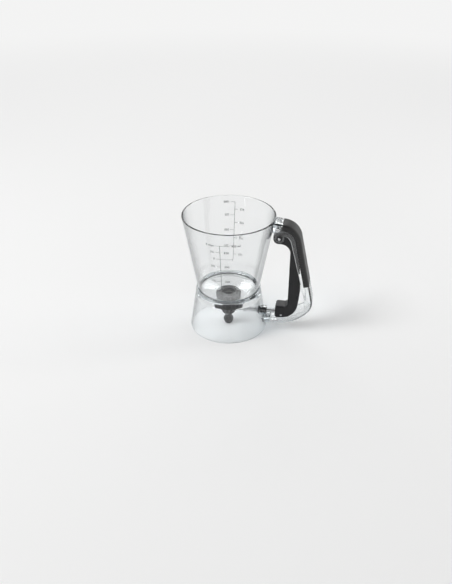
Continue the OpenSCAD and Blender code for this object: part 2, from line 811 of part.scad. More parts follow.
module valve_body() {
    color(dark_colour) difference() {
        union() {
            rotate_extrude() polygon(rounded([
                [0, split_z, 0], [housing_r, split_z, 0.4], [housing_r, housing_top_z, 3],
                [ring_lip_r - 0.6, flange_z, 0], [flange_r, flange_z, 0],
                [flange_r, gasket_z, 0.5], [0, gasket_z, 0]
            ], 4));
            for (s = [-1, 1]) translate([0, s * ear_out, split_z]) {
                cylinder(h = valve_ear_t, r = valve_ear_r);
                translate([-valve_ear_r, s > 0 ? -ear_out + housing_r - 1 : 0, 0])
                    cube([2 * valve_ear_r, ear_out - housing_r + 1, valve_ear_t]);
            }
        }
        rotate_extrude() polygon([
            [0, split_z - eps], [bore_r, split_z - eps], [bore_r, housing_top_z], [neck_bore_r, gasket_z],
            [neck_bore_r, gasket_z + eps], [0, gasket_z + eps]
        ]);
        translate([0, 0, split_z - eps]) cylinder(h = seal_t + eps, r = seal_r + fix_gap);
        for (s = [-1, 1])
            translate([0, s * ear_out, split_z - eps])
                cylinder(h = valve_ear_t - 0.5 + eps, r = valve_screw_r + fix_gap);
    }
}
module valve_base() {
    spigot_low = housing_low_z - spigot_len;
    color(dark_colour) difference() {
        union() {
            rotate_extrude() polygon(rounded([
                [0, spigot_low, 0], [spigot_r, spigot_low, 0.3], [spigot_r, housing_low_z, 0],
                [housing_r, housing_low_z, 1], [housing_r, split_z, 0.4], [0, split_z, 0]
            ], 4));
            for (s = [-1, 1]) translate([0, s * ear_out, split_z - valve_ear_t]) {
                cylinder(h = valve_ear_t, r = valve_ear_r);
                translate([-valve_ear_r, s > 0 ? -ear_out + housing_r - 1 : 0, 0])
                    cube([2 * valve_ear_r, ear_out - housing_r + 1, valve_ear_t]);
            }
        }
        translate([0, 0, spigot_low - eps]) cylinder(h = split_z - spigot_low + 2 * eps, r = bore_r);
        // the gate's slot, open toward the rod and at the split
        translate([0, 0, floor_z]) cylinder(h = gate_slot_h + eps, r = gate_half_w + slide_gap);
        translate([0, -gate_half_w - slide_gap, floor_z])
            cube([housing_r + eps, 2 * (gate_half_w + slide_gap), gate_slot_h + eps]);
        translate([0, 0, floor_z - seal_t]) cylinder(h = seal_t + eps, r = seal_r + fix_gap);
        for (s = [-1, 1])
            translate([0, s * ear_out, split_z - valve_ear_t - eps])
                cylinder(h = valve_ear_t + 2 * eps, r = valve_screw_r + 0.15);
    }
}
module valve_screws() {
    color(steel_colour) for (s = [-1, 1]) translate([0, s * ear_out, split_z - valve_ear_t]) {
        difference() {
            union() {
                translate([0, 0, -valve_head_t]) cylinder(h = valve_head_t, r = valve_head_r);
                cylinder(h = 2 * valve_ear_t - 1, r = valve_screw_r);
            }
            for (a = [0, 90])
                rotate([0, 0, a]) translate([-1.4, -0.3, -valve_head_t - eps]) cube([2.8, 0.6, 0.7 + eps]);
        }
    }
}
module gate_seals() {
    color(rubber_colour) for (z = [split_z, floor_z - seal_t])
        translate([0, 0, z]) difference() {
            cylinder(h = seal_t, r = seal_r);
            translate([0, 0, -eps]) cylinder(h = seal_t + 2 * eps, r = bore_r);
        }
}

// ---- Nozzle ----
module nozzle_collar() {
    height = sleeve_len - 0.2;
    color(dark_colour) translate([0, 0, sleeve_top_z - sleeve_len]) rotate_extrude() polygon(rounded([
        [sleeve_r + seat_gap, 0, 0.3], [sleeve_r + collar_ring_t, 0, 0.5],
        [sleeve_r + collar_ring_t, height, 0.5], [sleeve_r + seat_gap, height, 0.3]
    ], 3));
}
module nozzle_tip() {
    sleeve_low = sleeve_top_z - sleeve_len;
    color(dark_colour) rotate_extrude() polygon(rounded([
        [mouth_bore_r, mouth_z, 0.4],
        [mouth_r, mouth_z, 0.8],
        [bulb_r + bulb_over, bulb_z, bulb_round_r],
        [waist_r, waist_z - 1, 3],
        [sleeve_r - 0.4, sleeve_low, 0.5],
        [sleeve_r, sleeve_low, 0],
        [sleeve_r, sleeve_top_z, 0.3],
        [spigot_r + fix_gap, sleeve_top_z, 0],
        [spigot_r + fix_gap, sleeve_low, 0],
        [bore_r, sleeve_low, 0],
        [mouth_bore_r, waist_z, 0]
    ], 6));
}

container();
base_skirt();
handle_frame();
grip_pad();
handle_screws();
pivot_pin();
pivot_clips();
trigger_lever();
link_pin();
pull_rod();
gate_blade();
gate_rivet();
rod_collar();
return_spring();
rod_bushing();
neck_gasket();
lock_ring();
valve_body();
valve_base();
valve_screws();
gate_seals();
nozzle_collar();
nozzle_tip();
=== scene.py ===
"""Looks of the pancake batter dispenser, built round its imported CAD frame.

Cup, Stand, Handle, Trigger and Valve hold the sizes of their sub-assemblies in millimetres and make their
pieces as surfaces worked out with numpy. Outlines are rows of (x, z, corner radius) or (radius, z, corner
radius), and Z points up.
"""

import logging
import math
from dataclasses import dataclass, field
from enum import Enum
from typing import Callable, Sequence

import bpy
import numpy as np
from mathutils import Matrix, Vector


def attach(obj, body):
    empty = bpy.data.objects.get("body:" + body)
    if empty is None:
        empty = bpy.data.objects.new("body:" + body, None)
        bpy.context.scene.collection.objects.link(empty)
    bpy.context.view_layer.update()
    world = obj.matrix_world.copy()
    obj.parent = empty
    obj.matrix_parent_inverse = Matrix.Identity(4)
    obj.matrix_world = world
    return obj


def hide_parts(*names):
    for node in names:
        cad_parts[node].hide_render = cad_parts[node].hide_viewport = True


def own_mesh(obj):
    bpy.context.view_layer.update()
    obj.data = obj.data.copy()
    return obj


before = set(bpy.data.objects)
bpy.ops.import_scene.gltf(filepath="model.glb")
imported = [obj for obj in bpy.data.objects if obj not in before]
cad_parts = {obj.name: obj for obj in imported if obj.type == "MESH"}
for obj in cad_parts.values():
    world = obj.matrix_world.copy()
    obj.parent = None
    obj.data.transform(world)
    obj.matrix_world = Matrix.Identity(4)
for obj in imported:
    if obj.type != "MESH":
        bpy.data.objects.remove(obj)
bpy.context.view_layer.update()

MM = 0.001
# Point attribute that masks the painted highlight on the handle's lips.
PAINTED_GLOW_MASK = "lip"
BACKDROP = (0.9, 0.9, 0.898)

PIVOT = (73.81, 157.0)  # where the trigger turns, as (x, z)
ROD_Z = 28.0  # height of the pull rod's axis
SEAT_GAP = 0.12  # room between pieces that seat on each other
SLIVER = 0.01  # too small to see: what keeps an edge or a step from closing up
CAP_RING = 0.3  # width of the ring of faces inside the edge of a plate's cap
ROUND_POINTS = 256  # points round the cup and the stand
WALL_STEP = 2.5  # longest face in their sections
CURVE_STEP = 0.5  # longest chord of the handle's curves
SHARP_DEG = 32.0  # edges sharper than this stay sharp, unless a piece says otherwise
ASKEW = (0.31, 0.52, 0.79)  # a direction that no piece's axis has

log = logging.getLogger("dispenser")

Place = tuple[float, float]
Corner = tuple[float, float, float]
Outline = Sequence[Corner]


class Along(Enum):
    """Direction in which a metal piece is drawn or brushed."""

    X = 0
    Y = 1
    Z = 2


class Body(Enum):
    """Bodies of the frame that the modelled pieces ride on."""

    CUP = "cup"
    TRIGGER = "trigger"


# --------------------------------------------------------------------------------------------------
# Outlines and paths
# --------------------------------------------------------------------------------------------------


def unit(vector: np.ndarray) -> np.ndarray:
    """Vector divided by its own length, row by row."""
    return vector / np.linalg.norm(vector, axis=-1, keepdims=True)


def rounded(corners: Outline, steps: int, closed: bool = True) -> np.ndarray:
    """Rounds the corners of an outline.

    A corner c with radius r between edges along unit vectors a and b becomes an arc about
    c + (a + b) / |a + b| * r / sin(h), where h is half the angle between a and b.

    Args:
        corners: Rows of (x, z, radius). A radius of 0 keeps the corner sharp.
        steps: Chords in each arc.
        closed: Whether the last corner joins the first.

    Returns:
        The points of the rounded outline, one per row.
    """
    table = np.asarray(corners, float)
    count = len(table)
    parts = []
    for i, (x, z, radius) in enumerate(table):
        corner = np.array([x, z])
        if radius <= 0 or (not closed and i in (0, count - 1)):
            parts.append(corner[None])
            continue
        back = unit(table[i - 1, :2] - corner)
        ahead = unit(table[(i + 1) % count, :2] - corner)
        half = 0.5 * math.acos(float(np.clip(back @ ahead, -1, 1)))
        centre = corner + unit(back + ahead) * radius / math.sin(half)
        start = corner + back * radius / math.tan(half) - centre
        end = corner + ahead * radius / math.tan(half) - centre
        swing = math.pi - 2 * half
        t = np.linspace(0, 1, steps + 1)[:, None]
        parts.append(centre + (start * np.sin((1 - t) * swing) + end * np.sin(t * swing)) / math.sin(swing))
    return np.vstack(parts)


def densify(path: np.ndarray, gap: float, closed: bool = True) -> np.ndarray:
    """Adds points to a path so that no two neighbours are further apart than gap.

    Args:
        path: Points of the path, one per row.
        gap: Longest distance allowed between neighbours.
        closed: Whether the last point joins the first.

    Returns:
        The denser path.
    """
    starts = path if closed else path[:-1]
    ends = np.roll(path, -1, axis=0) if closed else path[1:]
    counts = np.maximum(1, np.ceil(np.linalg.norm(ends - starts, axis=1) / gap)).astype(int)
    parts = [a + (b - a) * np.arange(n)[:, None] / n for a, b, n in zip(starts, ends, counts)]
    if not closed:
        parts.append(path[-1:])
    return np.vstack(parts)


def offset(outline: np.ndarray, distance: float) -> np.ndarray:
    """Moves a closed counterclockwise outline inwards.

    Each point moves by distance * (m + n) / (1 + m . n), where m and n are the inward normals of its edges.

    Args:
        outline: Points of the outline, one per row.
        distance: How far it moves.

    Returns:
        The moved outline, with as many points.
    """
    edge_after = unit(np.roll(outline, -1, axis=0) - outline)
    normal_after = np.stack([-edge_after[:, 1], edge_after[:, 0]], axis=1)
    normal_before = np.roll(normal_after, 1, axis=0)
    both = np.sum(normal_after * normal_before, axis=1, keepdims=True)
    return outline + distance * (normal_before + normal_after) / (1 + both)


class Path:
    """An open curve in a plane that can be read at any length along it."""

    def __init__(self, points: np.ndarray) -> None:
        """Works out the length up to each point and the unit normal to its left.

        Args:
            points: Points of the curve, one per row.
        """
        self.points = points
        steps = np.linalg.norm(np.diff(points, axis=0), axis=1)
        self.lengths = np.concatenate([[0.0], np.cumsum(steps)])
        tangent = unit(np.gradient(points, self.lengths, axis=0))
        self.normals = np.stack([-tangent[:, 1], tangent[:, 0]], axis=1)

    @property
    def total(self) -> float:
        """Length of the whole curve."""
        return float(self.lengths[-1])

    def at(self, length: np.ndarray) -> np.ndarray:
        """Points at the given lengths, with a last axis of (x, z)."""
        return np.stack([np.interp(length, self.lengths, self.points[:, k]) for k in (0, 1)], axis=-1)

    def left(self, length: np.ndarray) -> np.ndarray:
        """Unit normals to the left at the given lengths, with a last axis of (x, z)."""
        return unit(np.stack([np.interp(length, self.lengths, self.normals[:, k]) for k in (0, 1)], axis=-1))

    def nearest(self, place: Sequence[float]) -> float:
        """Length at which the curve comes closest to a place."""
        return float(self.lengths[np.argmin(np.linalg.norm(self.points - np.asarray(place), axis=1))])


# --------------------------------------------------------------------------------------------------
# Surfaces
# --------------------------------------------------------------------------------------------------


def grid_faces(rows: int, cols: int, wrap_rows: bool = False, wrap_cols: bool = False) -> np.ndarray:
    """Quads between the neighbours of a grid whose point (i, j) has the number i * cols + j.

    Args:
        rows: Number of rows.
        cols: Number of columns.
        wrap_rows: Whether the last row joins the first.
        wrap_cols: Whether the last column joins the first.

    Returns:
        Four point numbers for each quad.
    """
    i = np.arange(rows if wrap_rows else rows - 1)[:, None]
    j = np.arange(cols if wrap_cols else cols - 1)[None, :]
    after_i, after_j = (i + 1) % rows, (j + 1) % cols
    here, beside = i * cols + j, i * cols + after_j
    across, above = after_i * cols + after_j, after_i * cols + j
    return np.stack(np.broadcast_arrays(here, beside, across, above), axis=-1).reshape(-1, 4)


@dataclass
class Surface:
    """A closed surface: points in millimetres, quads, and flat caps as lists of point numbers."""

    points: np.ndarray
    quads: np.ndarray
    caps: list[list[int]] = field(default_factory=list)

    def volume(self) -> float:
        """Sum of a . (b x c) / 6 over the triangles, which is above 0 where the faces point outwards."""
        fans = [np.array([[c[0], c[k], c[k + 1]] for k in range(1, len(c) - 1)]) for c in self.caps]
        triangles = np.concatenate([self.quads[:, [0, 1, 2]], self.quads[:, [0, 2, 3]], *fans])
        a, b, c = (self.points[triangles[:, k]] for k in range(3))
        return float(np.einsum("ij,ij->i", a, np.cross(b, c)).sum() / 6)

    def outward(self) -> "Surface":
        """The same surface with its faces pointing outwards."""
        if self.volume() >= 0:
            return self
        return Surface(self.points, self.quads[:, ::-1], [c[::-1] for c in self.caps])

    def joined(self, *others: "Surface") -> "Surface":
        """This surface and the others as one set of points and faces.

        Args:
            *others: The surfaces to add.

        Returns:
            The joined surface.
        """
        points, quads, caps = self.points, self.quads, list(self.caps)
        for other in others:
            shift = len(points)
            quads = np.concatenate([quads, other.quads + shift])
            caps += [[number + shift for number in cap] for cap in other.caps]
            points = np.concatenate([points, other.points])
        return Surface(points, quads, caps)

    def to_object(self, name: str, sharp_deg: float = SHARP_DEG) -> bpy.types.Object:
        """Puts the surface into a new object, in metres.

        Args:
            name: Name of the object and of its mesh.
            sharp_deg: Edges sharper than this stay sharp, and the rest is smooth.

        Returns:
            The new object.
        """
        mesh = bpy.data.meshes.new(name)
        mesh.from_pydata((self.points * MM).tolist(), [], self.quads.tolist() + self.caps)
        mesh.update()
        mesh.shade_smooth()
        mesh.set_sharp_from_angle(angle=math.radians(sharp_deg))
        made = bpy.data.objects.new(name, mesh)
        bpy.context.scene.collection.objects.link(made)
        return made


def lathe(profile: np.ndarray, around: int) -> Surface:
    """Turns a closed profile about the Z axis: (r, z) goes to (r cos t, r sin t, z).

    Args:
        profile: Rows of (radius, height).
        around: Points round the axis.

    Returns:
        The closed ring.
    """
    angle = 2 * np.pi * np.arange(around) / around
    radius, height = profile[:, :1], profile[:, 1:]
    grid = [radius * np.cos(angle), radius * np.sin(angle), height + 0 * angle]
    points = np.stack(grid, axis=-1).reshape(-1, 3)
    return Surface(points, grid_faces(len(profile), around, True, True)).outward()


def slab(outline: np.ndarray, width: float, edge: float, steps: int = 5) -> Surface:
    """A plate in the XZ plane with rounded edges.

    For an angle t from -90 to 90 degrees, the outline lies at y = s (w/2 - e) + e sin t, drawn in by
    e (1 - cos t), where w is the width, e the edge radius and s the sign of t. One more ring, CAP_RING
    further in, keeps each cap flat.

    Args:
        outline: Closed counterclockwise outline as (x, z).
        width: Thickness along Y.
        edge: Radius of the rounded edges.
        steps: Chords in each rounded edge.

    Returns:
        The closed plate.
    """
    angle = np.linspace(0, np.pi / 2, steps + 1)
    rise = width / 2 - edge + edge * np.sin(angle)
    inset = edge * (1 - np.cos(angle))
    rise, inset = np.append(rise, rise[-1]), np.append(inset, inset[-1] + CAP_RING)
    levels = np.concatenate([-rise[::-1], rise])
    insets = np.concatenate([inset[::-1], inset])
    rings = []
    for level, drawn_in in zip(levels, insets):
        ring = offset(outline, drawn_in)
        rings.append(np.column_stack([ring[:, 0], np.full(len(ring), level), ring[:, 1]]))
    count, last = len(outline), len(rings) - 1
    caps = [list(range(count))[::-1], [last * count + k for k in range(count)]]
    quads = grid_faces(len(rings), count, wrap_cols=True)
    return Surface(np.vstack(rings), quads, caps).outward()


def bar(start: Sequence[float], end: Sequence[float], radii: np.ndarray, around: int) -> Surface:
    """A turned piece on the line from start to end.

    A row (r, d) goes to start + d a + r (u cos t + v sin t), where a is the axis, and u and v are square to
    it and to each other.

    Args:
        start: Where the profile's second value is 0.
        end: A point further along the axis, which gives only the direction.
        radii: Profile of (radius, distance along the axis), from one end cap to the other.
        around: Points round the axis.

    Returns:
        The closed piece, capped at both ends.
    """
    origin, tip = np.asarray(start, float), np.asarray(end, float)
    axis = unit(tip - origin)
    side = unit(np.cross(axis, ASKEW))
    other = np.cross(axis, side)
    angle = 2 * np.pi * np.arange(around) / around
    ring = np.cos(angle)[:, None] * side + np.sin(angle)[:, None] * other
    points = origin + radii[:, None, :1] * ring + radii[:, None, 1:] * axis
    last = (len(radii) - 1) * around
    caps = [list(range(around))[::-1], [last + k for k in range(around)]]
    return Surface(points.reshape(-1, 3), grid_faces(len(radii), around, wrap_cols=True), caps).outward()


def coil(start_x: float, end_x: float, height: float, radius: float, wire: float, turns: float) -> Surface:
    """A compression coil round a line along X, with a closed turn at each end.

    The wire's middle is at (x(t), R cos 2 pi t, z + R sin 2 pi t) for t from 0 to the number of turns, where
    x rises by 2.2 wire radii over the first and the last turn and evenly between them.

    Args:
        start_x: Where the spring begins.
        end_x: Where the spring ends.
        height: Height of its axis.
        radius: Radius to the middle of the wire.
        wire: Radius of the wire.
        turns: Number of turns.

    Returns:
        The closed wire.
    """
    per_turn, sides, closed_rise = 48, 12, 2.2 * wire
    t = np.linspace(0, turns, int(turns * per_turn) + 1)
    low, high = start_x + wire, end_x - wire
    knots_x = [low, low + closed_rise, high - closed_rise, high]
    x = np.interp(t, [0, 1, turns - 1, turns], knots_x)
    round_angle = 2 * np.pi * t
    around = 2 * np.pi * np.arange(sides) / sides
    reach = radius + wire * np.cos(around)[None, :]
    points = np.stack(
        [
            x[:, None] + wire * np.sin(around)[None, :],
            reach * np.cos(round_angle)[:, None],
            height + reach * np.sin(round_angle)[:, None],
        ],
        axis=-1,
    ).reshape(-1, 3)
    last = (len(t) - 1) * sides
    caps = [list(range(sides))[::-1], [last + k for k in range(sides)]]
    return Surface(points, grid_faces(len(t), sides, wrap_cols=True), caps).outward()


def carve(piece: bpy.types.Object, tools: Sequence[Surface], how: str, sharp_deg: float = SHARP_DEG) -> None:
    """Joins solids to a piece or cuts them from it, exactly.

    Args:
        piece: The object that is changed.
        tools: The solids to join or cut, one after the other.
        how: "UNION" or "DIFFERENCE".
        sharp_deg: Edges sharper than this stay sharp.
    """
    for number, tool in enumerate(tools):
        helper = tool.to_object(f"{piece.name}_tool_{number}")
        change = piece.modifiers.new("carve", "BOOLEAN")
        change.operation, change.solver, change.object = how, "MANIFOLD", helper
        bpy.context.view_layer.update()
        result = bpy.data.meshes.new_from_object(piece.evaluated_get(bpy.context.evaluated_depsgraph_get()))
        piece.modifiers.clear()
        piece.data = result
        bpy.data.objects.remove(helper)
    piece.data.shade_smooth()
    piece.data.set_sharp_from_angle(angle=math.radians(sharp_deg))


# --------------------------------------------------------------------------------------------------
# Finishes
# --------------------------------------------------------------------------------------------------


class Graph:
    """The node tree of a material or a world, with a short way to add linked nodes."""

    def __init__(self, owner: bpy.types.Material | bpy.types.World) -> None:
        """Empties the owner's node tree.

        Args:
            owner: The material or world.
        """
        owner.use_nodes = True
        self.tree = owner.node_tree
        self.tree.nodes.clear()

    def add(self, kind: str, values: dict | None = None, **settings: object) -> bpy.types.Node:
        """Adds a node.

        Args:
            kind: Blender's name for the node, without ShaderNode.
            values: Input name or number to a constant, or to the output socket that feeds it.
            **settings: Properties of the node.

        Returns:
            The new node.
        """
        node = self.tree.nodes.new(f"ShaderNode{kind}")
        for name, value in settings.items():
            setattr(node, name, value)
        for name, value in (values or {}).items():
            if isinstance(value, bpy.types.NodeSocket):
                self.tree.links.new(value, node.inputs[name])
            else:
                node.inputs[name].default_value = value
        return node

    def noise(
        self,
        scale: float,
        detail: float,
        stretch: Sequence[float] = (1, 1, 1),
    ) -> bpy.types.NodeSocket:
        """Noise over the piece's own place.

        Args:
            scale: Features to the metre.
            detail: Finer layers on top of the first.
            stretch: Features along each axis, as shares of scale.

        Returns:
            The noise, from 0 to 1.
        """
        place = self.add("TexCoord").outputs["Object"]
        mapped = self.add("Mapping", {"Vector": place, "Scale": stretch})
        made = self.add("TexNoise", {"Vector": mapped.outputs[0], "Scale": scale, "Detail": detail})
        return made.outputs["Fac"]

    def ranged(self, value: bpy.types.NodeSocket, low: float, high: float) -> bpy.types.NodeSocket:
        """Spreads the middle of a noise, from 0.3 to 0.7, over low to high."""
        limits = {0: value, "From Min": 0.3, "From Max": 0.7, "To Min": low, "To Max": high}
        return self.add("MapRange", limits).outputs[0]

    def bump(self, value: bpy.types.NodeSocket, depth: float, strength: float) -> bpy.types.NodeSocket:
        """Normal of a surface raised by value times depth metres."""
        return self.add("Bump", {"Height": value, "Distance": depth, "Strength": strength}).outputs[0]

    def toned(self, colour: Sequence[float], tone: bpy.types.NodeSocket) -> bpy.types.NodeSocket:
        """Colour times a tone near 1."""
        return self.add("VectorMath", {0: colour, "Scale": tone}, operation="SCALE").outputs[0]

    def finish(self, surface: bpy.types.NodeSocket, volume: bpy.types.NodeSocket | None = None) -> None:
        """Links the output node of a material.

        Args:
            surface: The surface shader.
            volume: The volume shader, if it has one.
        """
        out = self.add("OutputMaterial", {"Surface": surface})
        if volume is not None:
            self.tree.links.new(volume, out.inputs["Volume"])


@dataclass(frozen=True)
class Finish:
    """A named finish that makes its material once."""

    name: str

    def paint(self, graph: Graph) -> None:
        """Fills the material's empty node tree."""
        raise NotImplementedError

    def material(self) -> bpy.types.Material:
        """The finish's material, made at its first use."""
        known = bpy.data.materials.get(self.name)
        if known is not None:
            return known
        made = bpy.data.materials.new(self.name)
        self.paint(Graph(made))
        return made


@dataclass(frozen=True)
class ClearPlastic(Finish):
    """Polished clear copolyester: it lets lamps through, greys over long paths inside its walls, and has
    painted shade on its grazing edges.
    """

    tint: tuple[float, float, float] = (0.985, 0.988, 0.988)
    # Painted shade at grazing edges: the dark colour, and the facing value where it begins.
    painted_edge_shade: tuple[float, float, float] = (0.18, 0.19, 0.205)
    painted_shade_from: float = 0.4
    depth_colour: tuple[float, float, float] = (0.74, 0.78, 0.80)
    depth_density: float = 60.0
    ior: float = 1.55
    roughness_low: float = 0.012
    roughness_high: float = 0.05
    shadow: tuple[float, float, float] = (0.90, 0.91, 0.915)
    # Painted highlight on masked lips: share of clearness lost, and its whiter colour.
    painted_glow: float = 0.0
    painted_glow_colour: tuple[float, float, float] = (0.9, 0.91, 0.92)
    hairline_scale: float = 160.0
    hairline_stretch: tuple[float, float, float] = (1.0, 1.0, 14.0)
    wave_scale: float = 38.0
    wave_depth: float = 0.00008
    wave_strength: float = 0.5

    def paint(self, graph: Graph) -> None:
        """Glass-like shader with faint moulding waves, hairlines from washing and painted shade at grazing
        edges, clear to shadow rays.

        Where the piece has the lip mask attribute, its moulded edge is made whiter and less clear: a painted
        highlight where the edge catches the light.

        Args:
            graph: The material's empty node tree.
        """
        hairlines = graph.noise(self.hairline_scale, detail=6, stretch=self.hairline_stretch)
        roughness = graph.ranged(hairlines, self.roughness_low, self.roughness_high)
        waves = graph.bump(graph.noise(self.wave_scale, detail=1), self.wave_depth, self.wave_strength)
        # Painted shade: the base colour goes from the tint to a dark grey towards grazing angles.
        facing = graph.add("LayerWeight", {"Blend": 0.5}).outputs["Facing"]
        grazing = {0: facing, "From Min": self.painted_shade_from}
        edge = graph.add("MapRange", grazing, interpolation_type="SMOOTHSTEP").outputs[0]
        tint_and_painted_shade = {0: edge, 6: (*self.tint, 1), 7: (*self.painted_edge_shade, 1)}
        colour = graph.add("Mix", tint_and_painted_shade, data_type="RGBA").outputs[2]
        values = {
            "Base Color": colour,
            "Roughness": roughness,
            "IOR": self.ior,
            "Transmission Weight": 1.0,
            "Normal": waves,
        }
        if self.painted_glow:
            # Painted highlight: the lip mask makes the moulded edge less clear and whiter.
            lip = graph.add("Attribute", attribute_name=PAINTED_GLOW_MASK).outputs["Fac"]
            clearness = {0: lip, "To Min": 1.0, "To Max": 1 - self.painted_glow}
            values["Transmission Weight"] = graph.add("MapRange", clearness).outputs[0]
            painted_glow_mix = {0: lip, 6: colour, 7: (*self.painted_glow_colour, 1)}
            values["Base Color"] = graph.add("Mix", painted_glow_mix, data_type="RGBA").outputs[2]
        glass = graph.add("BsdfPrincipled", values).outputs[0]
        window = graph.add("BsdfTransparent", {"Color": (*self.shadow, 1)}).outputs[0]
        is_shadow = graph.add("LightPath").outputs["Is Shadow Ray"]
        surface = graph.add("MixShader", {0: is_shadow, 1: glass, 2: window}).outputs[0]
        depth = {"Color": (*self.depth_colour, 1), "Density": self.depth_density}
        graph.finish(surface, graph.add("VolumeAbsorption", depth).outputs[0])


@dataclass(frozen=True)
class MouldedPlastic(Finish):
    """Opaque moulded plastic with a fine spark-eroded grain and a little handling polish."""

    colour: tuple[float, float, float]
    roughness_low: float = 0.32
    roughness_high: float = 0.5
    specular: float = 0.32
    tone_scale: float = 70.0
    tone_low: float = 0.85
    tone_high: float = 1.15
    gloss_scale: float = 90.0
    grain_scale: float = 1500.0
    grain_depth: float = 0.00003
    grain_strength: float = 0.7

    def paint(self, graph: Graph) -> None:
        """Grain as bump, slow changes of gloss, and a slight change of tone.

        Args:
            graph: The material's empty node tree.
        """
        tone = graph.ranged(graph.noise(self.tone_scale, detail=3), self.tone_low, self.tone_high)
        colour = graph.toned(self.colour, tone)
        gloss = graph.noise(self.gloss_scale, detail=5)
        grain = graph.noise(self.grain_scale, detail=2)
        values = {
            "Base Color": colour,
            "Roughness": graph.ranged(gloss, self.roughness_low, self.roughness_high),
            "Specular IOR Level": self.specular,
            "Normal": graph.bump(grain, self.grain_depth, self.grain_strength),
        }
        graph.finish(graph.add("BsdfPrincipled", values).outputs[0])


@dataclass(frozen=True)
class Rubber(Finish):
    """Soft rubber or silicone: a satin skin with a faint pebble."""

    colour: tuple[float, float, float]
    roughness_low: float = 0.45
    roughness_high: float = 0.62
    specular: float = 0.34
    wiped_scale: float = 55.0
    tone_low: float = 0.8
    tone_high: float = 1.25
    pebble_scale: float = 1100.0
    pebble_depth: float = 0.00005
    pebble_strength: float = 0.6

    def paint(self, graph: Graph) -> None:
        """Pebble as bump over a satin base, with wiped patches that shine a little more.

        Args:
            graph: The material's empty node tree.
        """
        wiped = graph.noise(self.wiped_scale, detail=5)
        colour = graph.toned(self.colour, graph.ranged(wiped, self.tone_low, self.tone_high))
        pebble = graph.noise(self.pebble_scale, detail=3)
        values = {
            "Base Color": colour,
            "Roughness": graph.ranged(wiped, self.roughness_low, self.roughness_high),
            "Specular IOR Level": self.specular,
            "Normal": graph.bump(pebble, self.pebble_depth, self.pebble_strength),
        }
        graph.finish(graph.add("BsdfPrincipled", values).outputs[0])


@dataclass(frozen=True)
class Steel(Finish):
    """Stainless steel, drawn or brushed along one axis."""

    along: Along
    colour: tuple[float, float, float] = (0.56, 0.565, 0.575)
    roughness_low: float = 0.18
    roughness_high: float = 0.3
    line_scale: float = 2600.0
    line_stretch: float = 0.03
    line_depth: float = 0.000006
    line_strength: float = 0.4
    tone_low: float = 0.9
    tone_high: float = 1.06

    def paint(self, graph: Graph) -> None:
        """Lines along the axis in gloss, tone and bump.

        Args:
            graph: The material's empty node tree.
        """
        stretch = tuple(self.line_stretch if axis is self.along else 1.0 for axis in Along)
        lines = graph.noise(self.line_scale, detail=3, stretch=stretch)
        colour = graph.toned(self.colour, graph.ranged(lines, self.tone_low, self.tone_high))
        values = {
            "Base Color": colour,
            "Metallic": 1.0,
            "Roughness": graph.ranged(lines, self.roughness_low, self.roughness_high),
            "Normal": graph.bump(lines, self.line_depth, self.line_strength),
        }
        graph.finish(graph.add("BsdfPrincipled", values).outputs[0])


@dataclass(frozen=True)
class Ink(Finish):
    """Screen ink: a thin opaque film, worn a little."""

    colour: tuple[float, float, float]
    roughness: float = 0.6
    wear_scale: float = 900.0
    tone_low: float = 0.85
    tone_high: float = 1.15

    def paint(self, graph: Graph) -> None:
        """Matt film with slightly uneven cover.

        Args:
            graph: The material's empty node tree.
        """
        tone = graph.ranged(graph.noise(self.wear_scale, detail=3), self.tone_low, self.tone_high)
        values = {"Base Color": graph.toned(self.colour, tone), "Roughness": self.roughness}
        graph.finish(graph.add("BsdfPrincipled", values).outputs[0])


@dataclass(frozen=True)
class StudioFloor(Finish):
    """Pale seamless floor: matt round the object, and a backdrop as bright as its own colour far from it."""

    colour: tuple[float, float, float] = BACKDROP
    roughness: float = 0.5
    matt_to: float = 0.5
    backdrop_from: float = 2.4

    def paint(self, graph: Graph) -> None:
        """Matt and even near the object, where it takes the shadow. Past that, seen rays find the backdrop.

        Args:
            graph: The material's empty node tree.
        """
        place = graph.add("TexCoord").outputs["Object"]
        away = graph.add("VectorMath", {0: place}, operation="LENGTH").outputs["Value"]
        limits = {"Value": away, "From Min": self.matt_to, "From Max": self.backdrop_from}
        share = graph.add("MapRange", limits, interpolation_type="SMOOTHSTEP").outputs["Result"]
        path = graph.add("LightPath").outputs
        straight = {0: path["Is Camera Ray"], 1: path["Is Glossy Ray"]}
        seen = graph.add("Math", straight, operation="MAXIMUM").outputs[0]
        through = {0: seen, 1: path["Is Transmission Ray"]}
        seen = graph.add("Math", through, operation="MAXIMUM").outputs[0]
        share = graph.add("Math", {0: share, 1: seen}, operation="MULTIPLY").outputs[0]
        matt = graph.add("BsdfDiffuse", {"Color": (*self.colour, 1), "Roughness": self.roughness}).outputs[0]
        backdrop = graph.add("Emission", {"Color": (*self.colour, 1), "Strength": 1.0}).outputs[0]
        graph.finish(graph.add("MixShader", {0: share, 1: matt, 2: backdrop}).outputs[0])


CUP_CLEAR = ClearPlastic("clear_plastic_cup")
STAND_CLEAR = ClearPlastic("clear_plastic_stand", depth_density=80.0)
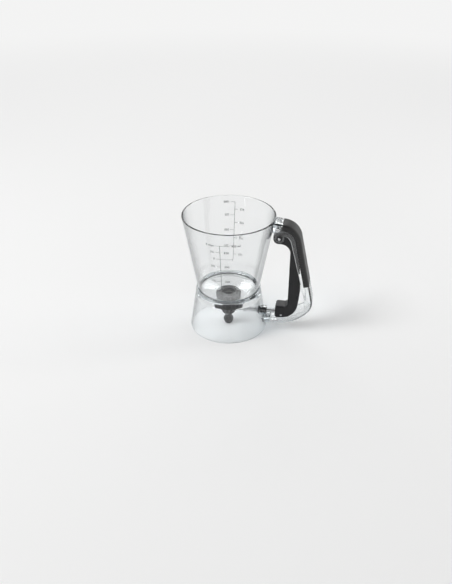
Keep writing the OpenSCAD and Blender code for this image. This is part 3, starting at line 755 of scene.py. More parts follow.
# The handle's lips carry a painted highlight.
HANDLE_CLEAR = ClearPlastic("clear_plastic_handle", depth_density=80.0, painted_glow=0.6)
TRIGGER_DARK = MouldedPlastic("trigger_satin_black", (0.011, 0.011, 0.0125), 0.26, 0.42)
VALVE_DARK = MouldedPlastic("valve_matt_black", (0.012, 0.012, 0.013), 0.38, 0.56)
GRIP_RUBBER = Rubber("grip_black_rubber", (0.013, 0.0127, 0.0127), 0.36, 0.52, 0.5)
NOZZLE_SILICONE = Rubber("nozzle_dark_silicone", (0.011, 0.011, 0.0125), 0.28, 0.44)
SEAL_SILICONE = Rubber("seal_grey_silicone", (0.16, 0.16, 0.16))
SCALE_INK = Ink("scale_grey_ink", (0.15, 0.15, 0.15))
STEEL_X = Steel("steel_drawn_along_x", Along.X)
STEEL_Y = Steel("steel_drawn_along_y", Along.Y)
STEEL_Z = Steel("steel_turned_z", Along.Z)
STEEL_BLACKENED = Steel("steel_blackened", Along.Y, (0.045, 0.045, 0.047), 0.3, 0.45)
STEEL_WIRE = Steel("steel_spring_wire", Along.X, (0.58, 0.585, 0.6), 0.2, 0.36)


# --------------------------------------------------------------------------------------------------
# Frame helpers
# --------------------------------------------------------------------------------------------------


def place(piece: bpy.types.Object, finish: Finish, body: Body, node: str, stands_for: bool = True) -> None:
    """Gives a piece its finish, its body and its slot, and hides the CAD node that it stands for.

    Args:
        piece: The finished piece.
        finish: Its finish.
        body: The body that it rides on.
        node: The CAD node that it stands for.
        stands_for: Whether it replaces that node.
    """
    piece.data.materials.clear()
    piece.data.materials.append(finish.material())
    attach(piece, body.value)
    if stands_for:
        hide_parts(node)
    log.info("%s: %d faces, on %s", piece.name, len(piece.data.polygons), body.value)


def dress(node: str, finish: Finish) -> None:
    """Gives a CAD node that stays in view its finish.

    Args:
        node: Name of the node.
        finish: Its finish.
    """
    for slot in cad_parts[node].material_slots:
        slot.material = finish.material()
    log.info("%s: CAD node, %s", node, finish.name)


# --------------------------------------------------------------------------------------------------
# Cup
# --------------------------------------------------------------------------------------------------


class Conical:
    """What pieces with a conical wall round the Z axis share: the wall's radii by height."""

    wall: float

    def ends(self) -> tuple[Place, Place]:
        """The outer face's lower and upper end, each as (radius, z)."""
        raise NotImplementedError

    @property
    def slope(self) -> float:
        """Growth of the radius per millimetre of height."""
        (low_r, low_z), (high_r, high_z) = self.ends()
        return (high_r - low_r) / (high_z - low_z)

    @property
    def skin(self) -> float:
        """Wall thickness measured along the radius."""
        return self.wall * math.sqrt(1 + self.slope**2)

    def outside(self, z: np.ndarray | float) -> np.ndarray | float:
        """Outer radius at height z."""
        low_r, low_z = self.ends()[0]
        return low_r + self.slope * (z - low_z)

    def inside(self, z: np.ndarray | float) -> np.ndarray | float:
        """Inner radius at height z."""
        return self.outside(z) - self.skin


class Side(Enum):
    """Side of a scale's upright line, as seen from outside."""

    LEFT = -1
    RIGHT = 1


@dataclass(frozen=True)
class Mark:
    """One mark of a printed scale: a tick on one or both sides, and a number at the end of each."""

    height: float
    left_tick: float = 0.0
    left_text: str = ""
    left_gap: float = 1.8
    right_tick: float = 0.0
    right_text: str = ""
    right_gap: float = 2.2
    end_bar: float = 0.0


@dataclass
class Cup(Conical):
    """The clear conical cup with its funnel floor, outlet neck, handle tongue and printed scales."""

    rim_z: float = 183.0
    rim_r: float = 67.1
    floor_r: float = 45.1
    seat_z: float = 61.0
    wall: float = 2.2
    funnel_drop: float = 5.0
    floor_fillet: float = 6.0
    foot_round: float = 0.6
    ledge_w: float = 2.6
    ledge_play: float = 0.5
    neck_r: float = 13.0
    neck_bore_r: float = 10.0
    neck_len: float = 6.0
    neck_round: float = 0.5
    neck_fillet: float = 1.5
    throat_round: float = 2.0
    ink_t: float = 0.05
    ink_gap: float = 0.02
    line_w: float = 0.55
    tick_w: float = 0.5
    digit_h: float = 3.3
    size_per_digit: float = 1.38
    bold: float = 0.11
    front_azimuth: float = -91.5
    front_low_z: float = 74.8
    back_azimuth: float = 91.5
    back_low_z: float = 84.0
    back_top_ml: int = 1000
    back_step_ml: int = 125
    back_heights: tuple[float, ...] = (172.6, 161.8, 153.0, 141.6, 130.0, 118.0, 105.6, 92.6)

    def ends(self) -> tuple[Place, Place]:
        """The outer face from the seat to the rim."""
        return (self.floor_r, self.seat_z), (self.rim_r, self.rim_z)

    def profile(self) -> np.ndarray:
        """Section of wall, rim, funnel floor and neck as (radius, z)."""
        lip = self.skin / 2 - SLIVER
        floor_z = self.seat_z + self.wall
        throat_z = self.seat_z - self.funnel_drop
        corners = [
            (self.floor_r, self.seat_z, self.foot_round),
            (self.rim_r, self.rim_z, lip),
            (self.rim_r - self.skin, self.rim_z, lip),
            (self.inside(floor_z), floor_z, self.floor_fillet),
            (self.neck_bore_r, throat_z + self.wall, self.throat_round),
            (self.neck_bore_r, throat_z - self.neck_len, 0.0),
            (self.neck_r, throat_z - self.neck_len, self.neck_round),
            (self.neck_r, throat_z, self.neck_fillet),
            (self.floor_r - self.ledge_w - self.ledge_play, self.seat_z, 0.0),
        ]
        return densify(rounded(corners, steps=12), WALL_STEP)

    def build(self, tongue: Surface) -> None:
        """Makes the cup with its handle tongue, and the two printed scales.

        Args:
            tongue: The block that the handle's top end fits over.
        """
        cup = lathe(self.profile(), ROUND_POINTS).to_object("clear_cup")
        carve(cup, [tongue], "UNION")
        place(cup, CUP_CLEAR, Body.CUP, "container")
        self.print_scale("scale_front", self.front_azimuth, self.front_marks(), self.front_low_z)
        self.print_scale("scale_back", self.back_azimuth, self.back_marks(), self.back_low_z)

    def front_marks(self) -> list[Mark]:
        """Half-cup marks, from four down to one."""
        return [
            Mark(164.3, 6.8, "4 cups", 1.4, 14.0, "950 ml", 2.0),
            Mark(153.2, 6.0, "3½", 1.8, 0.0, "830", 5.4),
            Mark(142.0, 6.0, "3", 1.8, 16.6, end_bar=3.6),
            Mark(128.8, 6.0, "2½", 1.8, 0.0, "590", 5.4),
            Mark(116.7, 6.0, "2", 1.8, 16.6, end_bar=3.6),
            Mark(102.6, 6.0, "1½", 1.8, 0.0, "350", 5.4),
            Mark(88.4, 6.0, "1", 1.8, 16.6, end_bar=3.6),
        ]

    def back_marks(self) -> list[Mark]:
        """Marks an eighth of the whole apart, on alternate sides of the line."""
        marks = []
        for number, height in enumerate(self.back_heights):
            text = str(self.back_top_ml - self.back_step_ml * number)
            if number % 2 == 0:
                marks.append(Mark(height, right_tick=6.6, right_text=text, right_gap=1.6))
            else:
                marks.append(Mark(height, left_tick=5.0, left_text=text, left_gap=3.0))
        return marks

    def on_wall(self, azimuth: float, z: float, flat: np.ndarray) -> np.ndarray:
        """Lays flat artwork on the cone.

        A point (u, v, d) goes to the angle a + u / R(z) and the height z + v cos s, d outside the wall, where
        s is the wall's slope angle.

        Args:
            azimuth: Angle of the artwork's origin about Z, in degrees.
            z: Height of the artwork's origin.
            flat: Rows of (right, up, out) in millimetres, as seen from outside.

        Returns:
            The points in space.
        """
        lean = math.atan(self.slope)
        height = z + flat[:, 1] * math.cos(lean)
        radius = self.outside(height) + flat[:, 2] / math.cos(lean)
        angle = math.radians(azimuth) + flat[:, 0] / self.outside(z)
        return np.stack([radius * np.cos(angle), radius * np.sin(angle), height], axis=1)

    def stroke(self, azimuth: float, z: float, left: float, right: float, low: float, high: float) -> Surface:
        """A printed bar on the wall.

        It is a grid of patches laid on the wall twice, at the film's inner and its outer face, with sides
        between the two borders.

        Args:
            azimuth: Angle of the scale's line about Z, in degrees.
            z: Height of the place that low and high are measured from.
            left: Left end, measured from the line.
            right: Right end, measured from the line.
            low: Lower edge.
            high: Upper edge.

        Returns:
            The closed bar.
        """
        patch_w, patch_h = 1.0, 4.0
        columns = int((right - left) / patch_w) + 2
        rows = int((high - low) / patch_h) + 2
        u, v = np.meshgrid(np.linspace(left, right, columns), np.linspace(low, high, rows))
        inner, outer = self.ink_gap, self.ink_gap + self.ink_t
        sheets = [np.stack([u, v, np.full_like(u, d)], axis=-1).reshape(-1, 3) for d in (inner, outer)]
        points = np.vstack([self.on_wall(azimuth, z, sheet) for sheet in sheets])
        face = grid_faces(rows, columns)
        number = np.arange(rows * columns).reshape(rows, columns)
        border = np.concatenate([number[0, :-1], number[:-1, -1], number[-1, :0:-1], number[:0:-1, 0]])
        after, lift = np.roll(border, -1), rows * columns
        sides = np.stack([border, after, after + lift, border + lift], axis=1)
        return Surface(points, np.concatenate([face[:, ::-1], face + lift, sides])).outward()

    def lettering(self, text: str, azimuth: float, z: float, at: float, side: Side) -> list[Surface]:
        """A plain number or unit printed on the wall.

        Args:
            text: What is printed.
            azimuth: Angle of the scale's line about Z, in degrees.
            z: Height of the middle of the digits.
            at: Distance from the line to the near end of the text.
            side: Side of the line.

        Returns:
            One surface, or none for an empty text.
        """
        if not text:
            return []
        curve = bpy.data.curves.new("number", "FONT")
        curve.body = text
        curve.size = self.digit_h * self.size_per_digit
        curve.align_x = "LEFT" if side is Side.RIGHT else "RIGHT"
        curve.align_y = "CENTER"
        curve.extrude = self.ink_t / 2
        curve.offset = self.bold
        curve.resolution_u = 3
        holder = bpy.data.objects.new("number", curve)
        bpy.context.scene.collection.objects.link(holder)
        bpy.context.view_layer.update()
        mesh = bpy.data.meshes.new_from_object(holder.evaluated_get(bpy.context.evaluated_depsgraph_get()))
        flat = np.empty(len(mesh.vertices) * 3)
        mesh.vertices.foreach_get("co", flat)
        flat = flat.reshape(-1, 3) + [side.value * at, 0, self.ink_gap + self.ink_t / 2]
        faces = [list(polygon.vertices) for polygon in mesh.polygons]
        bpy.data.objects.remove(holder)
        return [Surface(self.on_wall(azimuth, z, flat), np.empty((0, 4), int), faces)]

    def print_scale(self, name: str, azimuth: float, marks: Sequence[Mark], low_z: float) -> None:
        """Prints one scale: its upright line, ticks and numbers, as one piece.

        Args:
            name: Name of the piece.
            azimuth: Angle of the line about Z, in degrees.
            marks: Its marks, from the top down.
            low_z: Height of the line's lower end.
        """
        half_line, half_tick = self.line_w / 2, self.tick_w / 2
        top_z = marks[0].height
        line_h = (top_z - low_z) / math.cos(math.atan(self.slope)) + half_tick
        line = self.stroke(azimuth, low_z, -half_line, half_line, 0, line_h)
        parts: list[Surface] = []
        for mark in marks:
            z, left, right, half_bar = mark.height, mark.left_tick, mark.right_tick, mark.end_bar / 2
            if left:
                parts.append(self.stroke(azimuth, z, -left, -half_line, -half_tick, half_tick))
            if right:
                parts.append(self.stroke(azimuth, z, half_line, right, -half_tick, half_tick))
            if mark.end_bar:
                parts.append(self.stroke(azimuth, z, right, right + self.tick_w, -half_bar, half_bar))
            parts += self.lettering(mark.left_text, azimuth, z, left + mark.left_gap, Side.LEFT)
            parts += self.lettering(mark.right_text, azimuth, z, right + mark.right_gap, Side.RIGHT)
        piece = line.joined(*parts).to_object(name)
        place(piece, SCALE_INK, Body.CUP, "container", stands_for=False)


# --------------------------------------------------------------------------------------------------
# Stand
# --------------------------------------------------------------------------------------------------


@dataclass
class Stand(Conical):
    """The clear flared stand with its collar, ledge and rod port."""

    cup: Cup
    base_r: float = 57.8
    base_round: float = 0.8
    base_round_in: float = 0.4
    collar_r: float = 47.9
    collar_h: float = 5.0
    collar_round: float = 0.6
    collar_round_in: float = 0.3
    wall: float = 2.2
    ledge_t: float = 3.0
    ledge_round: float = 0.8
    brace_below: float = 4.0
    brace_fillet: float = 4.0
    seat_gap: float = SEAT_GAP
    port_z: float = ROD_Z
    port_r: float = 7.5
    port_out: float = 4.0
    port_round_in: float = 0.4
    port_round_out: float = 0.6
    port_bore_r: float = 4.53
    port_bore_past: float = 1.0
    port_points: int = 96

    @property
    def top_z(self) -> float:
        """Height of the collar's upper edge."""
        return self.cup.seat_z + self.collar_h

    def ends(self) -> tuple[Place, Place]:
        """The outer face from the foot to the collar's upper edge."""
        return (self.base_r, 0.0), (self.collar_r, self.top_z)

    def profile(self) -> np.ndarray:
        """Section of the skirt, its ledge with a sloping underside, and its collar, as (radius, z)."""
        cup, seat_z = self.cup, self.cup.seat_z
        ledge_r = cup.floor_r - cup.ledge_w
        ledge_z = seat_z - self.ledge_t
        run = self.inside(ledge_z - self.brace_below) - ledge_r
        corners = [
            (self.inside(0), 0, self.base_round_in),
            (self.base_r, 0, self.base_round),
            (self.collar_r, self.top_z, self.collar_round),
            (cup.outside(self.top_z) + self.seat_gap, self.top_z, self.collar_round_in),
            (cup.outside(seat_z) + self.seat_gap, seat_z, 0.0),
            (ledge_r, seat_z, 0.0),
            (ledge_r, ledge_z, self.ledge_round),
            (self.inside(ledge_z - run), ledge_z - run, self.brace_fillet),
        ]
        return densify(rounded(corners, steps=10), WALL_STEP)

    def port(self) -> tuple[Surface, Surface]:
        """The rod port's boss and the bore that is cut through it."""
        start_x, length = self.inside(self.port_z) - self.port_out, self.skin + 2 * self.port_out
        start, ahead = (start_x, 0, self.port_z), (start_x + 1, 0, self.port_z)
        corners = [
            (0, 0, 0),
            (self.port_r, 0, self.port_round_in),
            (self.port_r, length, self.port_round_out),
            (0, length, 0),
        ]
        edge = rounded(corners, steps=4, closed=False)
        past = self.port_bore_past
        bore = np.array([[self.port_bore_r, -past], [self.port_bore_r, length + past]])
        return bar(start, ahead, edge[1:-1], self.port_points), bar(start, ahead, bore, self.port_points)

    def build(self, tongue: Surface) -> None:
        """Makes the stand with its port boss and its handle tongue.

        Args:
            tongue: The block that the handle's foot fits over.
        """
        boss, hole = self.port()
        stand = lathe(self.profile(), ROUND_POINTS).to_object("clear_stand")
        carve(stand, [tongue, boss], "UNION")
        carve(stand, [hole], "DIFFERENCE")
        place(stand, STAND_CLEAR, Body.CUP, "base_skirt")


# --------------------------------------------------------------------------------------------------
# Handle
# --------------------------------------------------------------------------------------------------


@dataclass
class Handle:
    """The clear channel handle, open toward the cup, with its pivot ears, tongues and grip pad."""

    cup: Cup
    stand: Stand
    width: float = 28.0
    cheek_t: float = 2.5
    web_t: float = 2.5
    edge_r: float = 4.0
    lip_r: float = 1.2
    lip_straight: float = 3.0
    # Gain of the painted lip highlight's mask across the lips.
    lip_glow_gain: float = 1.8
    fillet_r: float = 1.0
    seat_gap: float = SEAT_GAP
    pivot: Place = PIVOT
    ear_r: float = 7.0
    ear_right_round: float = 1.5
    ear_left_round: float = 1.2
    ear_right_join: float = 3.0
    ear_left_join: float = 1.6
    ear_join_play: float = 0.2
    # Least painted lip highlight round the ears, and how far past them it comes back.
    ear_glow_least: float = 0.15
    ear_glow_from: float = 1.0
    tongue_h: float = 9.0
    tongue_len: float = 11.0
    tongue_root: float = 0.3
    tongue_round: float = 1.0
    tongue_edge: float = 0.5
    foot_tongue_len: float = 7.0
    foot_tongue_z: float = 23.5
    outline: Outline = (
        (40.0, 11.6, 0.0),
        (105.5, 18.4, 56.0),
        (127.8, 46.7, 24.0),
        (99.9, 174.5, 28.0),
        (40.0, 182.3, 0.0),
    )
    lips: Outline = (
        (40.0, 21.8, 0.0),
        (91.0, 27.0, 40.0),
        (115.0, 41.4, 7.0),
        (113.2, 62.5, 60.0),
        (88.2, 160.1, 16.0),
        (40.0, 169.6, 0.0),
    )
    facing: Sequence[tuple[Place, Place]] = (
        ((62.0, 13.9), (60.0, 23.9)),
        ((80.0, 15.9), (78.0, 25.7)),
        ((100.0, 20.8), (96.0, 30.0)),
        ((112.0, 27.7), (107.0, 36.6)),
        ((120.0, 36.5), (113.4, 41.0)),
        ((125.8, 50.0), (114.6, 46.0)),
        ((124.3, 62.0), (113.3, 62.0)),
        ((105.0, 151.0), (91.0, 148.0)),
        ((98.5, 164.0), (86.5, 157.3)),
    )
    ear_shares: tuple[float, ...] = (0.54, 0.4, 0.0, -0.29, -0.43)
    ear_right_up: float = 3.0
    ear_left_up: float = 5.0
    free_top: Place = (68.2, 178.6)
    steps_along: tuple[int, ...] = (380, 90, 10)
    steps_to_end: int = 9
    trim_steps: int = 1200
    sharp_deg: float = 40.0
    pad_wrap: float = 8.0
    pad_side: float = 1.2
    pad_t: float = 2.0
    pad_proud: float = 0.2
    pad_len: float = 74.0
    pad_lead: float = 3.0
    pad_room: float = 0.06
    pad_past: float = 1.5
    pad_edge: float = 0.5
    pad_edge_high: float = 0.35
    pad_edge_in: float = 0.1
    pad_end_len: float = 0.8
    pad_end_sink: float = 0.45
    rib_pitch: float = 2.7
    rib_depth: float = 0.85
    rib_points: int = 14
    rib_from: float = 2.6
    rib_rise: float = 1.0
    rib_stop: float = 0.7
    rib_fall: float = 0.8
    rib_free_ends: float = 2.5
    pad_sharp_deg: float = 50.0

    def __post_init__(self) -> None:
        """Works out the outer curve and the curve of the cheeks' lips, with the ears in it."""
        self.outer = Path(densify(rounded(self.outline, steps=48, closed=False), CURVE_STEP, closed=False))
        self.inner = Path(self.lips_with_ear())

    def ear_sides(self) -> tuple[float, float, float]:
        """The ear's right side, left side and lowest height."""
        ear_x, ear_z = self.pivot
        return ear_x + self.ear_r, ear_x - self.ear_r, ear_z - self.ear_r

    def lips_with_ear(self) -> np.ndarray:
        """The lip curve: rounded corners, then down round the ear below the pivot and on to the cup."""
        plain = densify(rounded(self.lips, steps=32, closed=False), CURVE_STEP, closed=False)
        ear_z = self.pivot[1]
        right, left, low = self.ear_sides()
        top_run = plain[plain[:, 1] > ear_z]

        def on_top_run(x: float, radius: float) -> Corner:
            """A corner on the lip's top run."""
            return x, float(np.interp(x, top_run[::-1, 0], top_run[::-1, 1])), radius

        round_r = self.ear_r - SLIVER
        join_right, join_left = right + self.ear_right_join, left - self.ear_left_join
        ear = [
            on_top_run(join_right, 0.0),
            on_top_run(right, self.ear_right_round),
            (right, low, round_r),
            (left, low, round_r),
            on_top_run(left, self.ear_left_round),
            on_top_run(join_left, 0.0),
        ]
        before = plain[(plain[:, 0] > join_right + self.ear_join_play) | (plain[:, 1] < low)]
        after = plain[(plain[:, 0] < join_left - self.ear_join_play) & (plain[:, 1] > ear_z)]
        round_ear = densify(rounded(ear, steps=14, closed=False), CURVE_STEP, closed=False)
        return np.vstack([before, round_ear, after])

    def above_ear(self) -> list[Place]:
        """Places on the outer curve that face the ear, all between its two sides, so that no face folds."""
        ear_x, _ = self.pivot
        (x3, z3, _), (x4, z4, _) = self.outline[3:]
        places = ear_x + self.ear_r * np.array(self.ear_shares)
        return [(x, z3 + (z4 - z3) * (x3 - x) / (x3 - x4)) for x in places]

    def matching(self, lengths: np.ndarray) -> np.ndarray:
        """Lengths on the lip curve that face lengths on the outer curve.

        The two curves are tied at pairs of facing places, and lengths between them are shared out evenly.

        Args:
            lengths: Lengths on the outer curve.

        Returns:
            As many lengths on the lip curve.
        """
        ear_x, ear_z = self.pivot
        right, left, low = self.ear_sides()
        round_ear = [
            (right, ear_z + self.ear_right_up),
            (right, ear_z),
            (ear_x, low),
            (left, ear_z),
            (left, ear_z + self.ear_left_up),
        ]
        facing = [*self.facing, *zip(self.above_ear(), round_ear)]
        own = [0.0] + [self.outer.nearest(a) for a, _ in facing] + [self.outer.total]
        lips = [0.0] + [self.inner.nearest(b) for _, b in facing] + [self.inner.total]
        return np.interp(lengths, own, lips)

    def half_section(self) -> tuple[np.ndarray, np.ndarray]:
        """Half of the channel's section as rows of (on the lips, distance, y), outside and inside.

        The distance is the depth below the outer curve, or the height above the lips where the first value
        is 1. Corners are quarter circles.
        """
        half, edge, lip = self.width / 2, self.edge_r, self.lip_r
        room = half - self.cheek_t
        turn = np.linspace(0, np.pi / 2, 8)
        outside = [[0, 0, 0], [0, 0, (half - edge) * 0.5]]
        outside += [[0, edge * (1 - math.cos(t)), half - edge + edge * math.sin(t)] for t in turn]
        outside += [[1, self.lip_straight, half]]
        outside += [[1, lip * (1 - math.sin(t)), half - lip * (1 - math.cos(t))] for t in turn]
        web, fillet = self.web_t, self.fillet_r
        inside = [[0, web, 0], [0, web, (room - fillet) * 0.5]]
        inside += [[0, web + fillet * (1 - math.cos(t)), room - fillet * (1 - math.sin(t))] for t in turn]
        inside += [[1, self.lip_straight, room]]
        inside += [[1, lip * (1 - math.sin(t)), room + lip * (1 - math.cos(t))] for t in turn]
        return np.array(outside), np.array(inside)

    def loop(self) -> tuple[np.ndarray, int]:
        """The whole section as one loop, outside first, and the number of points in its outer part."""
        outside, inside = self.half_section()
        flip = np.array([1, 1, -1])
        outer = np.vstack([outside[:0:-1] * flip, outside])
        inner = np.vstack([inside[:0:-1] * flip, inside])
        return np.vstack([outer, inner[::-1]]), len(outer)

    def line(self, row: np.ndarray, lengths: np.ndarray) -> np.ndarray:
        """Points of one section row carried along the handle.

        Args:
            row: One row of the section, as (on the lips, distance, y).
            lengths: Lengths on the outer curve.

        Returns:
            The points, with a last axis of (x, y, z).
        """
        on_lips, distance, y = row
        if on_lips:
            own = self.matching(lengths)
            flat = self.inner.at(own) - self.inner.left(own) * distance
        else:
            flat = self.outer.at(lengths) + self.outer.left(lengths) * distance
        return np.stack([flat[..., 0], np.full_like(lengths, y), flat[..., 1]], axis=-1)

    def trimmed(self, row: np.ndarray) -> tuple[float, float]:
        """Lengths on the outer curve at which a row meets the stand's cone and the cup's cone.

        Args:
            row: One row of the section, as (on the lips, distance, y).

        Returns:
            The first length outside the stand and the last one outside the cup.
        """
        lengths = np.linspace(0, self.outer.total, self.trim_steps)
        points = self.line(row, lengths)
        reach = np.hypot(points[:, 0], points[:, 1])
        stand = reach - self.stand.outside(points[:, 2]) - self.seat_gap
        cup = reach - self.cup.outside(points[:, 2]) - self.seat_gap
        first = int(np.argmax(stand > 0))
        last = len(lengths) - 1 - int(np.argmax(cup[::-1] > 0))
        start = np.interp(0, stand[first - 1 : first + 1], lengths[first - 1 : first + 1])
        end = np.interp(0, -cup[last : last + 2], lengths[last : last + 2])
        return float(start), float(end)

    def channel(self) -> Surface:
        """The clear channel: its section carried along the outline, trimmed to the two cones and capped."""
        rows, outer_count = self.loop()
        free_start = self.outer.nearest(self.facing[0][0])
        free_end = self.outer.nearest(self.free_top)
        ear_start, *_, ear_end = (self.outer.nearest(spot) for spot in self.above_ear())
        stops = (free_start, ear_start, ear_end, free_end)
        spans = [np.linspace(*span) for span in zip(stops, stops[1:], self.steps_along)]
        middle = np.unique(np.concatenate(spans))
        ease = np.linspace(0, 1, self.steps_to_end)
        lines = []
        for row in rows:
            start, end = self.trimmed(row)
            head = start + (free_start - start) * ease[:-1]
            tail = free_end + (end - free_end) * ease[1:]
            lines.append(self.line(row, np.concatenate([head, middle, tail])))
        points = np.stack(lines)
        count, along = points.shape[:2]
        quads = grid_faces(count, along, wrap_rows=True)
        pairs = np.arange(outer_count - 1)
        facing = count - 1 - pairs
        ring = np.stack([pairs, pairs + 1, facing - 1, facing], axis=1)
        ends = [ring * along, ring[:, ::-1] * along + along - 1]
        return Surface(points.reshape(-1, 3), np.concatenate([quads, *ends])).outward()

    def mask_painted_lip_glow(self, channel: bpy.types.Object) -> None:
        """Writes the mask of the painted lip highlight: 1 on the cheeks' rounded lips, less round the ears,
        and 0 elsewhere.

        Args:
            channel: The channel's object, before anything is carved from it.
        """
        rows, _ = self.loop()
        on_lips, distance = rows[:, 0], rows[:, 1]
        weight = np.clip(on_lips * self.lip_glow_gain * (1 - distance / self.lip_r), 0, 1)
        count = len(channel.data.vertices)
        places = np.empty(count * 3)
        channel.data.vertices.foreach_get("co", places)
        from_pivot = np.hypot(places[0::3] / MM - self.pivot[0], places[2::3] / MM - self.pivot[1])
        away = np.clip((from_pivot - self.ear_r - self.ear_glow_from) / self.ear_r, self.ear_glow_least, 1)
        layer = channel.data.attributes.new(PAINTED_GLOW_MASK, "FLOAT", "POINT")
        layer.data.foreach_set("value", np.repeat(weight, count // len(rows)) * away)

    def tongue(self, inner_x: Callable[[float], float], reach: float, low: float, high: float) -> Surface:
        """A block that fills the end of the channel, rooted in a wall.

        Args:
            inner_x: Place of its root inside the wall, by height.
            reach: Place of its free end.
            low: Height of its lower face at the free end, or 0 for the channel's own floor.
            high: Height of its upper face at the free end, or 0 for the channel's own roof.

        Returns:
            The block, to be joined to the wall.
        """
        gap = self.web_t + self.seat_gap
        (x0, z0, _), (x1, z1, _) = self.outline[:2]
        (x3, z3, _), (x4, z4, _) = self.outline[3:]

        def floor(x: float) -> float:
            """Height of the channel's floor."""
            return z0 + (z1 - z0) * (x - x0) / (x1 - x0) + gap

        def roof(x: float) -> float:
            """Height of the channel's roof."""
            return z3 + (z4 - z3) * (x - x3) / (x4 - x3) - gap

        tip_r = self.tongue_round
        if high:
            root_z = floor(inner_x(high))
            root = [(inner_x(high), high, 0), (inner_x(root_z), root_z, 0)]
            corners = [root[1], (reach, floor(reach), tip_r), (reach, high, tip_r), root[0]]
        else:
            root_z = roof(inner_x(low))
            root = [(inner_x(low), low, 0), (inner_x(root_z), root_z, 0)]
            corners = [root[0], (reach, low, tip_r), (reach, roof(reach), tip_r), root[1]]
        width = self.width - 2 * self.cheek_t - 2 * self.seat_gap
        return slab(rounded(corners, steps=6), width, self.tongue_edge)

    def top_tongue(self) -> Surface:
        """The cup's tongue in the handle's top end."""
        low = self.outline[3][1] - self.tongue_h
        reach = self.cup.outside(low) + self.tongue_len
        return self.tongue(lambda z: self.cup.inside(z) + self.tongue_root, reach, low, 0)

    def foot_tongue(self) -> Surface:
        """The stand's tongue in the handle's foot."""
        reach = self.stand.base_r + self.foot_tongue_len
        return self.tongue(lambda z: self.stand.inside(z) + self.tongue_root, reach, 0, self.foot_tongue_z)

    def recess(self) -> Surface:
        """What is cut from the channel for the pad: the pad's section with room round it, open outwards."""
        room, past = self.pad_room, self.pad_past
        half, side = self.width / 2 + past, self.width / 2 - self.pad_side - room
        deep, thick = self.pad_wrap + room, self.pad_t + room
        outside = [[-past, 0.0], [-past, half], [deep, half], [deep, side]]
        upper = np.array(outside + self.pad_inner_edge(thick, side) + [[thick, 0.0]])
        loop = np.vstack([upper, (upper * [1, -1])[-2:0:-1]])
        start, end = self.pad_span()
        lengths = np.linspace(start - room, end + room, int((end - start) / CURVE_STEP))
        return self.carried(lengths, loop[:, None, 0], loop[:, None, 1])

    def pad_inner_edge(self, thick: float, side: float) -> list[list[float]]:
        """The rounded inner edge of the pad's section as rows of (depth, y), from its cheek to its back.

        Args:
            thick: Depth of the flat back.
            side: Place of the flat cheek on the Y axis.

        Returns:
            The rows.
        """
        radius = self.edge_r - self.pad_side
        turn = np.linspace(np.pi / 2, 0, 10)
        return [[thick + radius * (1 - math.cos(t)), side - radius + radius * math.sin(t)] for t in turn]

    def carried(self, lengths: np.ndarray, depth: np.ndarray, y: np.ndarray) -> Surface:
        """Carries a closed section along the outer curve: (d, y) at length s goes to P(s) + d N(s), y across.

        Args:
            lengths: Lengths s on the outer curve.
            depth: Depths below the curve, one row for each point of the section.
            y: Places on the Y axis, in the same rows.

        Returns:
            The closed piece, capped at both ends.
        """
        base, normal = self.outer.at(lengths), self.outer.left(lengths)
        x = base[:, 0] + normal[:, 0] * depth
        z = base[:, 1] + normal[:, 1] * depth
        points = np.stack([x, y + 0 * x, z], axis=-1)
        count, along = points.shape[:2]
        first = np.arange(count) * along
        caps = [first.tolist(), (first + along - 1)[::-1].tolist()]
        return Surface(points.reshape(-1, 3), grid_faces(count, along, wrap_rows=True), caps).outward()

    def pad_span(self) -> tuple[float, float]:
        """Lengths on the outer curve at which the pad begins and ends.

        Both are measured from the ends of the top outer corner's arc, which lie r / tan(h) from the corner,
        where r is its radius and h is half the angle between its edges.
        """
        before, corner, after = (np.array(self.outline[k][:2]) for k in (2, 3, 4))
        back, ahead = unit(before - corner), unit(after - corner)
        half = 0.5 * math.acos(float(back @ ahead))
        reach = self.outline[3][2] / math.tan(half)
        start = self.outer.nearest(corner + back * (reach + self.pad_len))
        end = self.outer.nearest(corner + ahead * (reach + self.pad_lead))
        return start, end

    def pad(self) -> Surface:
        """The grip pad: a section that wraps the outer edge, carried along the top outer corner.

        Its cheeks carry grooves of depth g/2 (1 - cos(2 pi s / pitch)) across a band, faded at the band's
        edges and at the pad's ends, where its back sinks a little.
        """
        cheek_y = self.width / 2 + self.pad_proud
        loop = self.pad_section(cheek_y)
        depth, y = loop[:, None, 0], loop[:, None, 1]
        start, end = self.pad_span()
        s = np.linspace(start, end, int((end - start) / self.rib_pitch) * self.rib_points)
        from_end = np.minimum(s - start, end - s)
        rise = np.clip((depth - self.rib_from) / self.rib_rise, 0, 1)
        fall = np.clip((self.pad_wrap - self.rib_stop - depth) / self.rib_fall, 0, 1)
        band = np.isclose(np.abs(y), cheek_y) * rise * fall
        clear_ends = np.clip((from_end - self.rib_free_ends) / self.rib_rise, 0, 1)
        groove = 0.5 * self.rib_depth * (1 - np.cos(2 * np.pi * (s - start) / self.rib_pitch)) * clear_ends
        fade_end = np.minimum(1, from_end / self.pad_end_len)
        sink = np.where(depth < 0, (1 - fade_end) * self.pad_end_sink, 0)
        return self.carried(s, depth + sink, y - np.sign(y) * band * groove)

